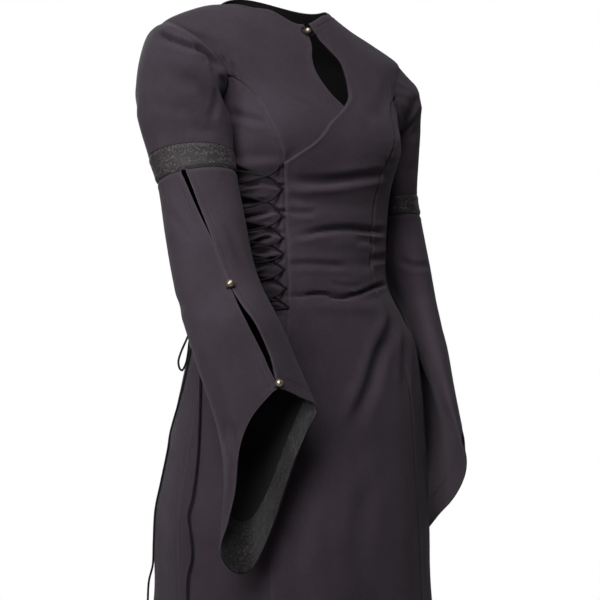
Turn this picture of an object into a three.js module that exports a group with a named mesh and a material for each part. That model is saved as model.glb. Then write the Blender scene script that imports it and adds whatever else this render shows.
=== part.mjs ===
import * as THREE from 'three';

// A floor-length laced gown with drop sleeves, in the worn form.
// Millimetres, +Z up. The wearer faces -Y and the wearer's left is +X.
// The origin lies between the shoulders, about 20 mm below the side neck points.

// Driving dimensions
const CLOTH = 1.6;
const SEAM_PULL = 0.22;
const TRIM_CLOTH = 1.0;
const TRIM_GAP = 0.4;
const BAND_LIFT = 1.0;
const TRIM_WIDTH = 30;
const HEM = -1385;
const WAIST = -372;
const NECK = -12;
const SHOULDER = -62;
const UNDERARM = -150;
const WRAP_FOOT = -216;
const BUST_PANEL_FOOT = -208;
const SIDE_PANEL_TOP = -110;
const LAP_DEPTH = 2.3;
const BEAD_RADIUS = 5.4;
const BEAD_GAP = 0.3;
const LACE_RADIUS = 1.5;
const LACE_CLEAR = 1.75;
const LACE_CROSS_LIFT = 4.9;
const LOOP_RADIUS = 0.9;

// Named columns for the tables
function table(columns, rows) {
  return rows.map((row) => Object.fromEntries(columns.map((name, i) => [name, row[i]])));
}

const radians = (degrees) => (degrees * Math.PI) / 180;
const degrees = (angle) => (angle * 180) / Math.PI;
const mix = (a, b, k) => a + (b - a) * k;
const clamp = (x, low = 0, high = 1) => Math.min(high, Math.max(low, x));
const bell = (x) => Math.exp(-x * x);

function ease(from, to, x) {
  const k = clamp((x - from) / (to - from));
  return k * k * (3 - 2 * k);
}

// A smooth curve through one column of a table, against another column
function curve(rows, at, name) {
  const xs = rows.map((row) => row[at]);
  const ys = rows.map((row) => row[name]);
  const last = xs.length - 1;
  const slopes = xs.map((_, i) => {
    const a = Math.max(i - 1, 0);
    const b = Math.min(i + 1, last);
    return (ys[b] - ys[a]) / (xs[b] - xs[a]);
  });
  return (x) => {
    if (x <= xs[0]) return ys[0];
    if (x >= xs[last]) return ys[last];
    let i = 0;
    while (x > xs[i + 1]) i += 1;
    const span = xs[i + 1] - xs[i];
    const k = (x - xs[i]) / span;
    const k2 = k * k;
    const k3 = k2 * k;
    return (2 * k3 - 3 * k2 + 1) * ys[i] + (k3 - 2 * k2 + k) * span * slopes[i]
      + (3 * k2 - 2 * k3) * ys[i + 1] + (k3 - k2) * span * slopes[i + 1];
  };
}

// Body rings: level is the height at the front, side and back are the heights there,
// width is the half-width, front and rear the depths to the front and the back,
// shift is the centre's move to the wearer's left, tilt lifts the right side over the left
const BODY_RINGS = table(['level', 'side', 'back', 'width', 'front', 'rear', 'shift', 'tilt'], [
  [HEM, HEM, HEM, 262, 222, 236, 10, 0],
  [-1150, -1150, -1150, 238, 202, 214, 10, 0],
  [-950, -950, -950, 215, 182, 192, 9, 0],
  [-820, -820, -820, 201, 168, 174, 9, 0],
  [-700, -700, -700, 203, 155, 164, 9, 0],
  [-570, -570, -570, 191, 136, 146, 20, 0],
  [-490, -490, -490, 180, 123, 129, 25, 0],
  [-450, -450, -450, 171, 119, 117, 24, 0],
  [-420, -420, -420, 159, 116, 106, 17, 0],
  [WAIST, WAIST, WAIST, 144, 112, 93, 4, 0],
  [-320, -320, -320, 145, 113, 90, 1, 0],
  [-270, -270, -270, 149, 115, 92, 0, 0],
  [-235, -235, -235, 152, 118, 94, 0, 0],
  [-178, -178, -178, 163, 122, 100, 0, 0],
  [UNDERARM, UNDERARM, UNDERARM, 166, 119, 104, -2, 2],
  [-125, -118, -122, 172, 112, 108, -4, 5],
  [-100, -82, -90, 182, 103, 109, -7, 8],
  [-78, -48, -58, 190, 94, 106, -10, 11],
  [SHOULDER, -29, -32, 191, 87, 101, -13, 12],
  [-48, -8.5, -7, 152, 81, 95, -16, 10.5],
  [-35, 6.5, 14, 114, 74, 89, -19, 6.5],
  [NECK, 21, 48, 77, 62, 80, -23, -3],
]);
const bodySide = curve(BODY_RINGS, 'level', 'side');
const bodyBack = curve(BODY_RINGS, 'level', 'back');
const bodyWidth = curve(BODY_RINGS, 'level', 'width');
const bodyFront = curve(BODY_RINGS, 'level', 'front');
const bodyRear = curve(BODY_RINGS, 'level', 'rear');
const bodyShift = curve(BODY_RINGS, 'level', 'shift');
const bodyTilt = curve(BODY_RINGS, 'level', 'tilt');
const BODY_SQUARENESS = 0.02;

// The bust, a soft mound on each side
const BUST = { level: -178, at: 32, rise: 17, breadth: 24, height: 52 };

// Long skirt folds: at is the angle, breadth in degrees, top is where the fold starts,
// depth is how far it stands out (or in) at the hem
const SKIRT_FOLDS = table(['at', 'breadth', 'top', 'depth'], [
  [-168, 13, -560, 17],
  [-143, 10, -520, -15],
  [-119, 10, -560, 13],
  [-98, 9, -470, -9],
  [-62, 11, -640, 9],
  [-44, 8, -620, -10],
  [-16, 11, -700, 8],
  [5, 9, -560, -9],
  [24, 8, -430, 9],
  [43, 8, -480, -12],
  [66, 11, -560, 12],
  [94, 10, -500, -11],
  [121, 12, -540, 16],
  [147, 10, -480, -14],
  [173, 9, -600, -9],
]);

// Short creases across the front, each a trough with a soft ridge below it
const CREASES = table(['level', 'at', 'reach', 'depth', 'breadth'], [
  [-232, -8, 26, 3.6, 9],
  [-268, 4, 20, 1.6, 9],
  [-303, 4, 34, 3.2, 9],
  [-349, 26, 15, 2.2, 8],
  [-393, 2, 34, 3.8, 9],
]);

// Levels of the lacing's turning points, with the cloth gathered between them
const LACE_LEVELS = [-218, -250, -286, -316, -337, -358, -384, -410];
const GATHER_DEPTH = 2.2;

// Panel edges: the front seam, the side seam, the wrap edge and the edge below it
const FRONT_SEAM = table(['level', 'at'], [
  [HEM, 38], [-820, 38], [-640, 37], [-480, 35], [-420, 32], [WAIST, 29], [-300, 29],
  [WRAP_FOOT, 30], [-190, 31.5], [-161, 35], [-131, 38.5], [-118, 42], [-111, 46], [-106, 50],
]);
const SIDE_SEAM = table(['level', 'at'], [
  [HEM, 86], [-600, 84], [WAIST, 84], [-216, 87], [UNDERARM, 90],
]);
const WRAP_EDGE = table(['level', 'at'], [
  [WRAP_FOOT, -30], [-200, -21.5], [-183.5, -13.5], [-156, -4.5], [-136, 4], [-118, 10],
  [-101, 11.7], [-72, 12.3], [-48, 11.5], [-30, 11], [NECK, 11],
]);
const BUST_EDGE = table(['level', 'at'], [
  [-222, -22], [-205, -13], [-183, -3], [-160, 6], [-145, 9], [-130, 6.5],
  [-113, 1.5], [-84.5, -2.8], [-60, -2], [-34, 2.4], [NECK, 4],
]);
const frontSeam = curve(FRONT_SEAM, 'level', 'at');
const sideSeam = curve(SIDE_SEAM, 'level', 'at');
const wrapEdge = curve(WRAP_EDGE, 'level', 'at');
const bustEdge = curve(BUST_EDGE, 'level', 'at');

// The armhole is an oval in angle and level, and the panels and the sleeve share it
const ARMHOLE = { level: (SHOULDER + UNDERARM) / 2, half: (SHOULDER - UNDERARM) / 2, front: 40, back: 34 };
const ARMHOLE_LEVELS = [UNDERARM, -146.5, -138, -124, -106, -90, -76, -66, SHOULDER];

function armholeReach(level) {
  const cosine = clamp((level - ARMHOLE.level) / ARMHOLE.half, -1, 1);
  return Math.sqrt(1 - cosine * cosine);
}

function laceInterval(level) {
  let i = 0;
  while (i < LACE_LEVELS.length - 2 && level < LACE_LEVELS[i + 1]) i += 1;
  return i + (level - LACE_LEVELS[i]) / (LACE_LEVELS[i + 1] - LACE_LEVELS[i]);
}

function skirtFolds(at, level) {
  let out = 0;
  for (const fold of SKIRT_FOLDS) {
    const turn = ((at - fold.at + 540) % 360) - 180;
    const drop = clamp((fold.top - level) / (fold.top - HEM));
    out += fold.depth * Math.pow(drop, 1.2) * bell(turn / fold.breadth);
  }
  return out;
}

function creases(at, level) {
  let out = 0;
  for (const crease of CREASES) {
    const along = bell((at - crease.at) / crease.reach) * ease(33, 25, Math.abs(at));
    const across = (level - crease.level) / crease.breadth;
    out += crease.depth * along * (0.6 * bell(across + 1.7) - bell(across));
  }
  return out;
}

function gathers(at, level) {
  const top = LACE_LEVELS[0];
  const foot = LACE_LEVELS[LACE_LEVELS.length - 1];
  const within = ease(top + 24, top, level) * ease(foot - 24, foot, level);
  return GATHER_DEPTH * within * gatherShare(at) * Math.cos(2 * Math.PI * laceInterval(level));
}

function gatherShare(at) {
  return ease(-31, -37, at) * ease(-83, -77, at);
}

// The front neck edge climbs steeply from the keyhole towards the shoulders
const NECK_RISE = { at: 32, breadth: 18, height: 8, from: -60 };

function neckRise(turn, level) {
  const around = bell((Math.abs(turn) - NECK_RISE.at) / NECK_RISE.breadth);
  return NECK_RISE.height * around * ease(NECK_RISE.from, NECK, level);
}

// A point of the body surface at an angle (0 front, 90 wearer's left) and a level
function bodyPoint(at, level, offset = 0) {
  const angle = radians(at);
  const s = Math.sin(angle);
  const c = Math.cos(angle);
  const square = 1 + BODY_SQUARENESS * Math.sin(2 * angle) ** 2;
  const turn = ((at + 540) % 360) - 180;
  const mound = BUST.rise * bell((level - BUST.level) / BUST.height)
    * (bell((turn - BUST.at) / BUST.breadth) + bell((turn + BUST.at) / BUST.breadth));
  const out = mound + skirtFolds(turn, level) + creases(turn, level) + gathers(turn, level);
  const depth = c > 0 ? bodyFront(level) : bodyRear(level);
  const centre = c > 0 ? level : bodyBack(level);
  const point = new THREE.Vector3(
    bodyShift(level) + bodyWidth(level) * square * s + out * s,
    -depth * square * c - out * c,
    mix(centre, bodySide(level), s * s) - bodyTilt(level) * s * Math.abs(s) + neckRise(turn, level),
  );
  return offset === 0 ? point : point.addScaledVector(bodyNormal(at, level), offset);
}

function bodyNormal(at, level) {
  const low = Math.max(level - 1.5, HEM);
  const high = Math.min(level + 1.5, NECK);
  const along = bodyPoint(at + 0.6, level).sub(bodyPoint(at - 0.6, level));
  const up = bodyPoint(at, high).sub(bodyPoint(at, low));
  return along.cross(up).normalize();
}

// One closed body from a grid of outer points and a grid of inner points
function wallGeometry(outer, inner, closed) {
  const rows = outer.length;
  const columns = outer[0].length;
  const positions = [];
  for (const grid of [outer, inner]) {
    for (const row of grid) for (const p of row) positions.push(p.x, p.y, p.z);
  }
  const half = rows * columns;
  const index = [];
  const quad = (a, b, c, d) => index.push(a, b, c, a, c, d);
  const steps = closed ? columns : columns - 1;
  for (let i = 0; i < rows - 1; i += 1) {
    for (let j = 0; j < steps; j += 1) {
      const k = (j + 1) % columns;
      const a = i * columns + j;
      const b = i * columns + k;
      quad(a, b, b + columns, a + columns);
      quad(half + a, half + a + columns, half + b + columns, half + b);
    }
  }
  for (let j = 0; j < steps; j += 1) {
    const k = (j + 1) % columns;
    const top = (rows - 1) * columns;
    quad(j, half + j, half + k, k);
    quad(top + j, top + k, half + top + k, half + top + j);
  }
  if (!closed) {
    for (let i = 0; i < rows - 1; i += 1) {
      const a = i * columns;
      const b = a + columns - 1;
      quad(a, a + columns, half + a + columns, half + a);
      quad(b, half + b, half + b + columns, b + columns);
    }
  }
  const geometry = new THREE.BufferGeometry();
  geometry.setAttribute('position', new THREE.Float32BufferAttribute(positions, 3));
  geometry.setIndex(signedVolume(positions, index) < 0 ? flipped(index) : index);
  geometry.computeVertexNormals();
  return geometry;
}

function signedVolume(positions, index) {
  const corner = (i) => new THREE.Vector3().fromArray(positions, 3 * index[i]);
  let sum = 0;
  for (let i = 0; i < index.length; i += 3) {
    sum += corner(i).dot(corner(i + 1).cross(corner(i + 2)));
  }
  return sum / 6;
}

function flipped(index) {
  const turned = [];
  for (let i = 0; i < index.length; i += 3) turned.push(index[i], index[i + 2], index[i + 1]);
  return turned;
}

// Draws the named edges of both grids back from their seams
function pullEdges(outer, inner, edges) {
  const rows = outer.length;
  const columns = outer[0].length;
  const pull = (i, j, i2, j2) => {
    const step = outer[i2][j2].clone().sub(outer[i][j]).setLength(SEAM_PULL);
    outer[i][j].add(step);
    inner[i][j].add(step);
  };
  for (let i = 0; i < rows; i += 1) {
    if (edges.includes('first')) pull(i, 0, i, 1);
    if (edges.includes('last')) pull(i, columns - 1, i, columns - 2);
  }
  for (let j = 0; j < columns; j += 1) {
    if (edges.includes('start')) pull(0, j, 1, j);
    if (edges.includes('end')) pull(rows - 1, j, rows - 2, j);
  }
}

// Levels at which the panels have their rows
const SKIRT_LEVELS = [
  HEM, -1290, -1190, -1090, -990, -900, -820, -750, -690, -635, -585, -540, -500, -465, -438,
];
const BACK_STEP = 20;
const TORSO_STEP = 13;
const FRONT_STEP = 9;
const GATHER_STEP = 8;

function spread(from, to, step) {
  const count = Math.round((to - from) / step);
  return Array.from({ length: count + 1 }, (_, i) => from + ((to - from) * i) / count);
}

function bodyLevels(step) {
  return [
    ...SKIRT_LEVELS, ...spread(-420, WRAP_FOOT, step), BUST_PANEL_FOOT,
    ...spread(-200, -161, TORSO_STEP), ...ARMHOLE_LEVELS, SIDE_PANEL_TOP,
    -55, -48, -41, -35, -24, NECK,
  ].sort((a, b) => a - b);
}

// A panel between two edges, each an angle for every level
function panelGeometry({ levels, from, to, columns, edges, sink = () => 0 }) {
  const outer = [];
  const inner = [];
  for (const level of levels) {
    const outerRow = [];
    const innerRow = [];
    for (let j = 0; j <= columns; j += 1) {
      const at = mix(from(level), to(level), j / columns);
      const normal = bodyNormal(at, level);
      const point = bodyPoint(at, level).addScaledVector(normal, -sink(at, level));
      outerRow.push(point);
      innerRow.push(point.clone().addScaledVector(armholeMitre(at, level, normal), -CLOTH));
    }
    outer.push(outerRow);
    inner.push(innerRow);
  }
  pullEdges(outer, inner, edges);
  return wallGeometry(outer, inner, false);
}

// Along the armhole the wall's thickness leans to the sleeve's, where the two face alike
function armholeMitre(at, level, normal) {
  const side = at > 0 && at < 180 ? 1 : -1;
  const turn = side > 0 ? at : -(((at + 540) % 360) - 180);
  const reach = armholeReach(level);
  const edge = turn < 90 ? 90 - ARMHOLE.front * reach : 90 + ARMHOLE.back * reach;
  if (level < UNDERARM || level > SHOULDER || Math.abs(turn - edge) > 0.01) return normal;
  const cosine = clamp((level - ARMHOLE.level) / ARMHOLE.half, -1, 1);
  const phi = turn < 90 ? degrees(Math.acos(cosine)) : 360 - degrees(Math.acos(cosine));
  return mitred(normal, sleeveNormal(side, phi, 0));
}

function mitred(own, other) {
  const share = ease(0, 0.35, own.dot(other));
  const sum = own.clone().addScaledVector(other, share).normalize();
  return sum.divideScalar(Math.max(0.6, sum.dot(own)));
}

// Sleeve rings: out (x, away from the body), y and z of the centre, the ring's lean outwards
// and forwards, the turn of its long axis, its half-width and half-depth, and the share by
// which it is flattened towards the body. reach is the distance along the sleeve.
const RING_COLUMNS = ['reach', 'out', 'y', 'z', 'lean', 'pitch', 'turn', 'wide', 'deep', 'flat'];
const RIGHT_RINGS = table(RING_COLUMNS, [
  [18, 200, -34, -99.5, 57, 10, -18, 72, 78, 0.3],
  [62, 197, -42, -150, 26, 14, -24, 69, 59, 0.46],
  [120, 192, -52, -205, 8, 18, -33, 58, 41, 0.2],
  [156, 188, -61, -240, 2, 18, -33, 54, 38, 0.14],
  [230, 184, -77, -310, 0, 17, -33, 55, 39, 0.04],
  [302, 178, -96, -382, 0, 26, -30, 56, 43, 0],
  [392, 158, -127, -472, 0, 46, -20, 62, 66, 0],
]);
const LEFT_RINGS = table(RING_COLUMNS, [
  [18, 191, 6, -112, 62, 3, 0, 49, 52, 0.16],
  [62, 195, 18, -152, 30, 3, 0, 43, 52, 0.44],
  [120, 191, 22, -236, 6, 3, 0, 38, 52, 0.22],
  [156, 192, 16, -272, 2, 6, 0, 38, 52, 0.05],
  [230, 193, -6, -344, 0, 12, 4, 36, 54, 0.04],
  [302, 209, -18, -412, 0, 22, 14, 30, 54, 0.34],
  [392, 220, -50, -496, 0, 42, 26, 25, 60, 0.5],
]);
const FLAT = { phi: 200, breadth: 38 };

// The mouth of the drop sleeve, round from the outer side over the slit to the body side
const MOUTH_REACH = 500;
const MOUTH_COLUMNS = ['phi', 'out', 'y', 'z'];
const RIGHT_MOUTH = table(MOUTH_COLUMNS, [
  [10, 188, -170, -597],
  [35, 177, -178, -560],
  [60, 158, -187, -533],
  [85, 141, -191, -520],
  [120, 106, -187, -530],
  [152, 73, -180, -546],
  [172, 86, -175, -577],
  [192, 104, -169, -622],
  [212, 127, -158, -697],
  [232, 143, -153, -735],
  [250, 157, -150, -755],
  [266, 175, -148, -760],
  [283, 194, -148, -749],
  [300, 205, -150, -728],
  [322, 197, -156, -692],
  [345, 190, -162, -652],
]);
const LEFT_MOUTH = table(MOUTH_COLUMNS, [
  [10, 228, -111, -637],
  [35, 220, -123, -612],
  [60, 211, -132, -594],
  [85, 202, -138, -585],
  [120, 194, -148, -597],
  [152, 195, -155, -625],
  [172, 197, -146, -650],
  [192, 197, -122, -679],
  [212, 204, -72, -711],
  [232, 216, -24, -742],
  [250, 218, 6, -776],
  [266, 223, 22, -795],
  [283, 229, 10, -776],
  [300, 232, -12, -744],
  [322, 233, -40, -707],
  [345, 232, -84, -662],
]);

// Between the wrist and the mouth the right drop draws in at the back of its outer side,
// and the left one stands off the hip
const DRAW = { reach: 445, share: 0.5 };
const RIGHT_DRAW = { phi: 305, breadth: 55, out: -13, back: -6 };
const LEFT_DRAW = { phi: 236, breadth: 62, out: 13, back: 0 };

// The slit along the top of the lower sleeve: its angle on each side and how far it stands open
const SLIT = table(['reach', 'right', 'left', 'gap'], [
  [156, 33, 2, 9],
  [198, 47, 0, 6.5],
  [230, 58, -3, 4],
  [256, 66, -5, 0.8],
  [291, 71, -7, 0.8],
  [335, 72, -8, 0.8],
  [375, 72, -8, 4.5],
  [408, 76, -7, 8.5],
  [447, 82, -6, 8.5],
  [470, 83, -5, 6],
  [489, 84, -5, 1.2],
  [MOUTH_REACH, 85, -5, 5],
]);
const rightSlit = curve(SLIT, 'reach', 'right');
const leftSlit = curve(SLIT, 'reach', 'left');
const slitAt = (side, reach) => (side < 0 ? rightSlit(reach) : leftSlit(reach));
const slitGap = curve(SLIT, 'reach', 'gap');
const SLEEVE_BEADS = [332, 492];
const BAND = { from: 122, to: 154 };

function ringPoint(ring, side, phi) {
  const a = radians(phi);
  const b = radians(phi - ring.turn);
  const flat = ring.flat * bell((((phi % 360) + 360) % 360 - FLAT.phi) / FLAT.breadth);
  const radius = (1 - flat) / Math.hypot(Math.cos(b) / ring.wide, Math.sin(b) / ring.deep);
  const lean = radians(ring.lean);
  const pitch = radians(ring.pitch);
  const out = radius * Math.cos(a) * Math.cos(lean);
  const fallen = -radius * Math.cos(a) * Math.sin(lean);
  const forward = radius * Math.sin(a);
  const down = fallen * Math.cos(pitch) - forward * Math.sin(pitch);
  const front = fallen * Math.sin(pitch) + forward * Math.cos(pitch);
  return new THREE.Vector3(side * (ring.out + out), ring.y - front, ring.z - down);
}

function armholePoint(side, phi) {
  const a = radians(phi);
  const level = ARMHOLE.level + ARMHOLE.half * Math.cos(a);
  const reach = Math.sin(a) > 0 ? ARMHOLE.front : ARMHOLE.back;
  return bodyPoint(side * (90 - reach * Math.sin(a)), level);
}

function mouthPoint(mouth, side, phi) {
  const lap = (shift) => mouth.map((row) => ({ ...row, phi: row.phi + shift }));
  const around = [...lap(-360), ...lap(0), ...lap(360)];
  const at = ((phi % 360) + 360) % 360;
  const [out, y, z] = ['out', 'y', 'z'].map((name) => curve(around, 'phi', name)(at));
  return new THREE.Vector3(side * out, y, z);
}

function drawnPoint(side, phi) {
  const { rings, mouth, draw } = side < 0 ? RIGHT_POSE : LEFT_POSE;
  const turn = ((phi - draw.phi + 540) % 360) - 180;
  const share = bell(turn / draw.breadth);
  const wrist = ringPoint(rings[rings.length - 1], side, phi);
  const point = wrist.lerp(mouthPoint(mouth, side, phi), DRAW.share);
  return point.add(new THREE.Vector3(side * draw.out * share, draw.back * share, 0));
}

const RIGHT_POSE = { rings: RIGHT_RINGS, mouth: RIGHT_MOUTH, draw: RIGHT_DRAW };
const LEFT_POSE = { rings: LEFT_RINGS, mouth: LEFT_MOUTH, draw: LEFT_DRAW };

// A point of a sleeve at an angle round it (0 outer, 90 front, 180 body side) and a reach
const sleeveLines = new Map();
function sleevePoint(side, phi, reach, offset = 0) {
  const key = `${side} ${phi.toFixed(4)}`;
  if (!sleeveLines.has(key)) {
    const { rings, mouth } = side < 0 ? RIGHT_POSE : LEFT_POSE;
    const stops = [
      { reach: 0, p: armholePoint(side, phi) },
      ...rings.map((ring) => ({ reach: ring.reach, p: ringPoint(ring, side, phi) })),
      { reach: DRAW.reach, p: drawnPoint(side, phi) },
      { reach: MOUTH_REACH, p: mouthPoint(mouth, side, phi) },
    ].map(({ reach: r, p }) => ({ reach: r, x: p.x, y: p.y, z: p.z }));
    sleeveLines.set(key, ['x', 'y', 'z'].map((name) => curve(stops, 'reach', name)));
  }
  const [x, y, z] = sleeveLines.get(key);
  const point = new THREE.Vector3(x(reach), y(reach), z(reach));
  return offset === 0 ? point : point.addScaledVector(sleeveNormal(side, phi, reach), offset);
}

function sleeveNormal(side, phi, reach) {
  const low = Math.max(reach - 2, 0);
  const high = Math.min(reach + 2, MOUTH_REACH);
  const around = sleevePoint(side, phi + 2, reach).sub(sleevePoint(side, phi - 2, reach));
  const down = sleevePoint(side, phi, high).sub(sleevePoint(side, phi, low));
  return down.cross(around).multiplyScalar(-side).normalize();
}

// Angles round the upper sleeve, one for each armhole level on the front and on the back
function upperAngles() {
  const front = ARMHOLE_LEVELS.map((level) => {
    const cosine = clamp((level - ARMHOLE.level) / ARMHOLE.half, -1, 1);
    return degrees(Math.acos(cosine));
  }).reverse();
  const back = front.slice(1, -1).map((phi) => 360 - phi).reverse();
  return [...front, ...back];
}

function tubeGeometry({ side, reaches, lift = 0, edges }) {
  const outer = [];
  const inner = [];
  for (const reach of reaches) {
    const outerRow = [];
    const innerRow = [];
    for (const phi of upperAngles()) {
      const normal = sleeveNormal(side, phi, reach);
      const point = sleevePoint(side, phi, reach).addScaledVector(normal, lift);
      const bodyFacing = reach === 0 ? mitred(normal, armholeBodyNormal(side, phi)) : normal;
      outerRow.push(point);
      innerRow.push(point.clone().addScaledVector(bodyFacing, -CLOTH));
    }
    outer.push(outerRow);
    inner.push(innerRow);
  }
  pullEdges(outer, inner, edges);
  return wallGeometry(outer, inner, true);
}

function armholeBodyNormal(side, phi) {
  const a = radians(phi);
  const reach = Math.sin(a) > 0 ? ARMHOLE.front : ARMHOLE.back;
  return bodyNormal(side * (90 - reach * Math.sin(a)), ARMHOLE.level + ARMHOLE.half * Math.cos(a));
}

// The lower sleeve, open along its slit, and the facing inside its mouth
const LOWER_COLUMNS = 22;
const SLEEVE_RADIUS = 52;

function slitRow(side, reach, j) {
  const open = degrees(slitGap(reach) / 2 / SLEEVE_RADIUS);
  return slitAt(side, reach) + open + ((360 - 2 * open) * j) / LOWER_COLUMNS;
}

function slitSleeveGeometry({ side, reaches, depth, thickness, edges }) {
  const outer = [];
  const inner = [];
  for (const reach of reaches) {
    const outerRow = [];
    const innerRow = [];
    for (let j = 0; j <= LOWER_COLUMNS; j += 1) {
      const phi = slitRow(side, reach, j);
      const normal = sleeveNormal(side, phi, reach);
      const point = sleevePoint(side, phi, reach);
      outerRow.push(point.clone().addScaledVector(normal, -depth));
      innerRow.push(point.addScaledVector(normal, -depth - thickness));
    }
    outer.push(outerRow);
    inner.push(innerRow);
  }
  pullEdges(outer, inner, edges);
  return wallGeometry(outer, inner, false);
}

// Cords: a round section drawn along a smooth path
function cordGeometry(points, radius, steps, sides = 8) {
  const path = new THREE.CatmullRomCurve3(points, false, 'centripetal');
  const section = new THREE.Shape(Array.from({ length: sides }, (_, i) => {
    const a = (2 * Math.PI * i) / sides;
    return new THREE.Vector2(radius * Math.cos(a), radius * Math.sin(a));
  }));
  return new THREE.ExtrudeGeometry(section, { steps, extrudePath: path, bevelEnabled: false });
}

// The lacing: two cords that zigzag between the front seam and the side seam
const LACE_STEPS_PER_RUN = 5;
const LACE_SIDE_LIFT = 1.2;
const LACE_RUN = table(['share', 'at'], [
  [0, -31.8], [0.25, -34.2], [0.5, -39], [0.75, -54], [1, -78],
]);
const laceRunAt = curve(LACE_RUN, 'share', 'at');

function lacePoint(start, progress) {
  const run = Math.floor(progress);
  const k = progress - run;
  const last = LACE_LEVELS.length - 1;
  const level = mix(LACE_LEVELS[run], LACE_LEVELS[Math.min(run + 1, last)], k);
  const forward = (run + start) % 2 === 0;
  const share = forward ? k : 1 - k;
  const at = laceRunAt(share);
  const above = start === 0 ? 1 : -1;
  const crossing = LACE_CROSS_LIFT * Math.max(0, above * Math.cos(Math.PI * (progress - 0.5)));
  const lift = crossing + LACE_SIDE_LIFT * bell((share - 0.72) / 0.2);
  return lacingOver(at, level, lift);
}

// A point of a cord drawn taut over the gathers
function lacingOver(at, level, lift = 0) {
  const overGathers = GATHER_DEPTH * gatherShare(at) - gathers(at, level);
  return bodyPoint(at, level, LACE_RADIUS + LACE_CLEAR + overGathers + lift);
}

function lacePath(start) {
  const runs = LACE_LEVELS.length - 1;
  const count = runs * LACE_STEPS_PER_RUN;
  const last = runs - 1e-9;
  return Array.from({ length: count + 1 }, (_, i) => lacePoint(start, Math.min((runs * i) / count, last)));
}

// The knot at the side, and the ends of the cords that it holds: angle is 0 towards the
// front and 90 up, in the plane of the side
const KNOT = { at: -90, level: -428, radius: 4, gap: 0.5, stub: 8 };
const KNOT_PLACE = bodyPoint(KNOT.at, KNOT.level, KNOT.radius + 0.4);

function spoke(angle, distance) {
  const a = radians(angle);
  return KNOT_PLACE.clone().add(new THREE.Vector3(0, -distance * Math.cos(a), distance * Math.sin(a)));
}
const fromKnot = (angle) => [spoke(angle, KNOT.radius + KNOT.gap), spoke(angle, KNOT.stub)];
const toKnot = (angle) => fromKnot(angle).reverse();

// Free cords from the knot: angle, level and distance out from the cloth
const TAIL_COLUMNS = ['at', 'level', 'out'];
const LAST_RUN = table(['at', 'level'], [[-45, -414], [-62, -419], [-75, -423]]);
const BACK_TAIL = table(TAIL_COLUMNS, [
  [-96, -454, 5],
  [-98, -492, 4],
  [-101, -540, 4],
  [-105, -582, 5],
  [-105, -606, 4],
  [-106, -650, 4],
  [-109, -690, 4],
  [-109, -735, 4],
  [-110, -765, 5],
  [-116, -792, 8],
  [-118, -822, 8],
  [-114, -880, 4],
  [-112, -950, 4],
]);
const FRONT_TAIL = table(TAIL_COLUMNS, [
  [-86, -456, 4],
  [-80, -510, 4],
  [-76, -560, 4],
  [-73, -620, 4],
  [-72.5, -668, 5],
  [-74, -690, 5],
  [-72, -716, 5],
  [-71.5, -745, 5],
  [-75, -775, 5],
  [-75.5, -820, 5],
  [-74, -870, 5],
  [-75, -925, 5],
]);
const BOW_BACK = table(TAIL_COLUMNS, [
  [-97, -440, 10],
  [-100, -457, 12.5],
  [-103, -472, 14],
  [-105, -484, 13.5],
  [-105, -493, 10],
  [-103, -496, 7],
  [-100, -487, 5.5],
  [-98.5, -472, 6.5],
  [-97, -452, 9],
]);
const BOW_FRONT = table(TAIL_COLUMNS, [
  [-82, -424.5, 10.5],
  [-78, -446, 11],
  [-78, -472, 9],
  [-80, -484, 8],
  [-82, -470, 7],
  [-83, -446, 6],
]);
const alongSkirt = (rows) => rows.map((row) => bodyPoint(row.at, row.level, row.out));

// Materials
function cloth(name, color, roughness = 0.95, metalness = 0) {
  return new THREE.MeshStandardMaterial({ name, color, roughness, metalness, side: THREE.FrontSide });
}
const COTTON = cloth('charcoal cotton', 0x39333a);
const BROCADE = cloth('woven silver brocade', 0x5a5357, 0.6);
const LACE = cloth('dark lacing cord', 0x2c2a2c, 0.9);
const BEAD = cloth('pale gold bead', 0xd8c49a, 0.3, 0.7);

const group = new THREE.Group();
group.name = 'laced_drop_sleeve_gown';

function add(name, geometry, material) {
  const mesh = new THREE.Mesh(geometry, material);
  mesh.name = name;
  group.add(mesh);
}

// Body panels

function armSide(level) {
  if (level >= SHOULDER) return 90;
  if (level >= ARMHOLE.level) return 90 - ARMHOLE.front * armholeReach(level);
  return frontSeam(level);
}

function backSide(level) {
  if (level >= SHOULDER) return 90;
  if (level > UNDERARM) return 90 + ARMHOLE.back * armholeReach(level);
  return sideSeam(level);
}

function sidePanelBack(level) {
  return level > UNDERARM ? 90 - ARMHOLE.front * armholeReach(level) : sideSeam(level);
}

function lapSink(at, level) {
  const seam = -armSide(level);
  const ramp = Math.min(9, Math.max(1.2, 0.7 * (wrapEdge(level) - seam)));
  return LAP_DEPTH * ease(0, ramp, at - seam) * ease(-60, -125, level);
}

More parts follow.
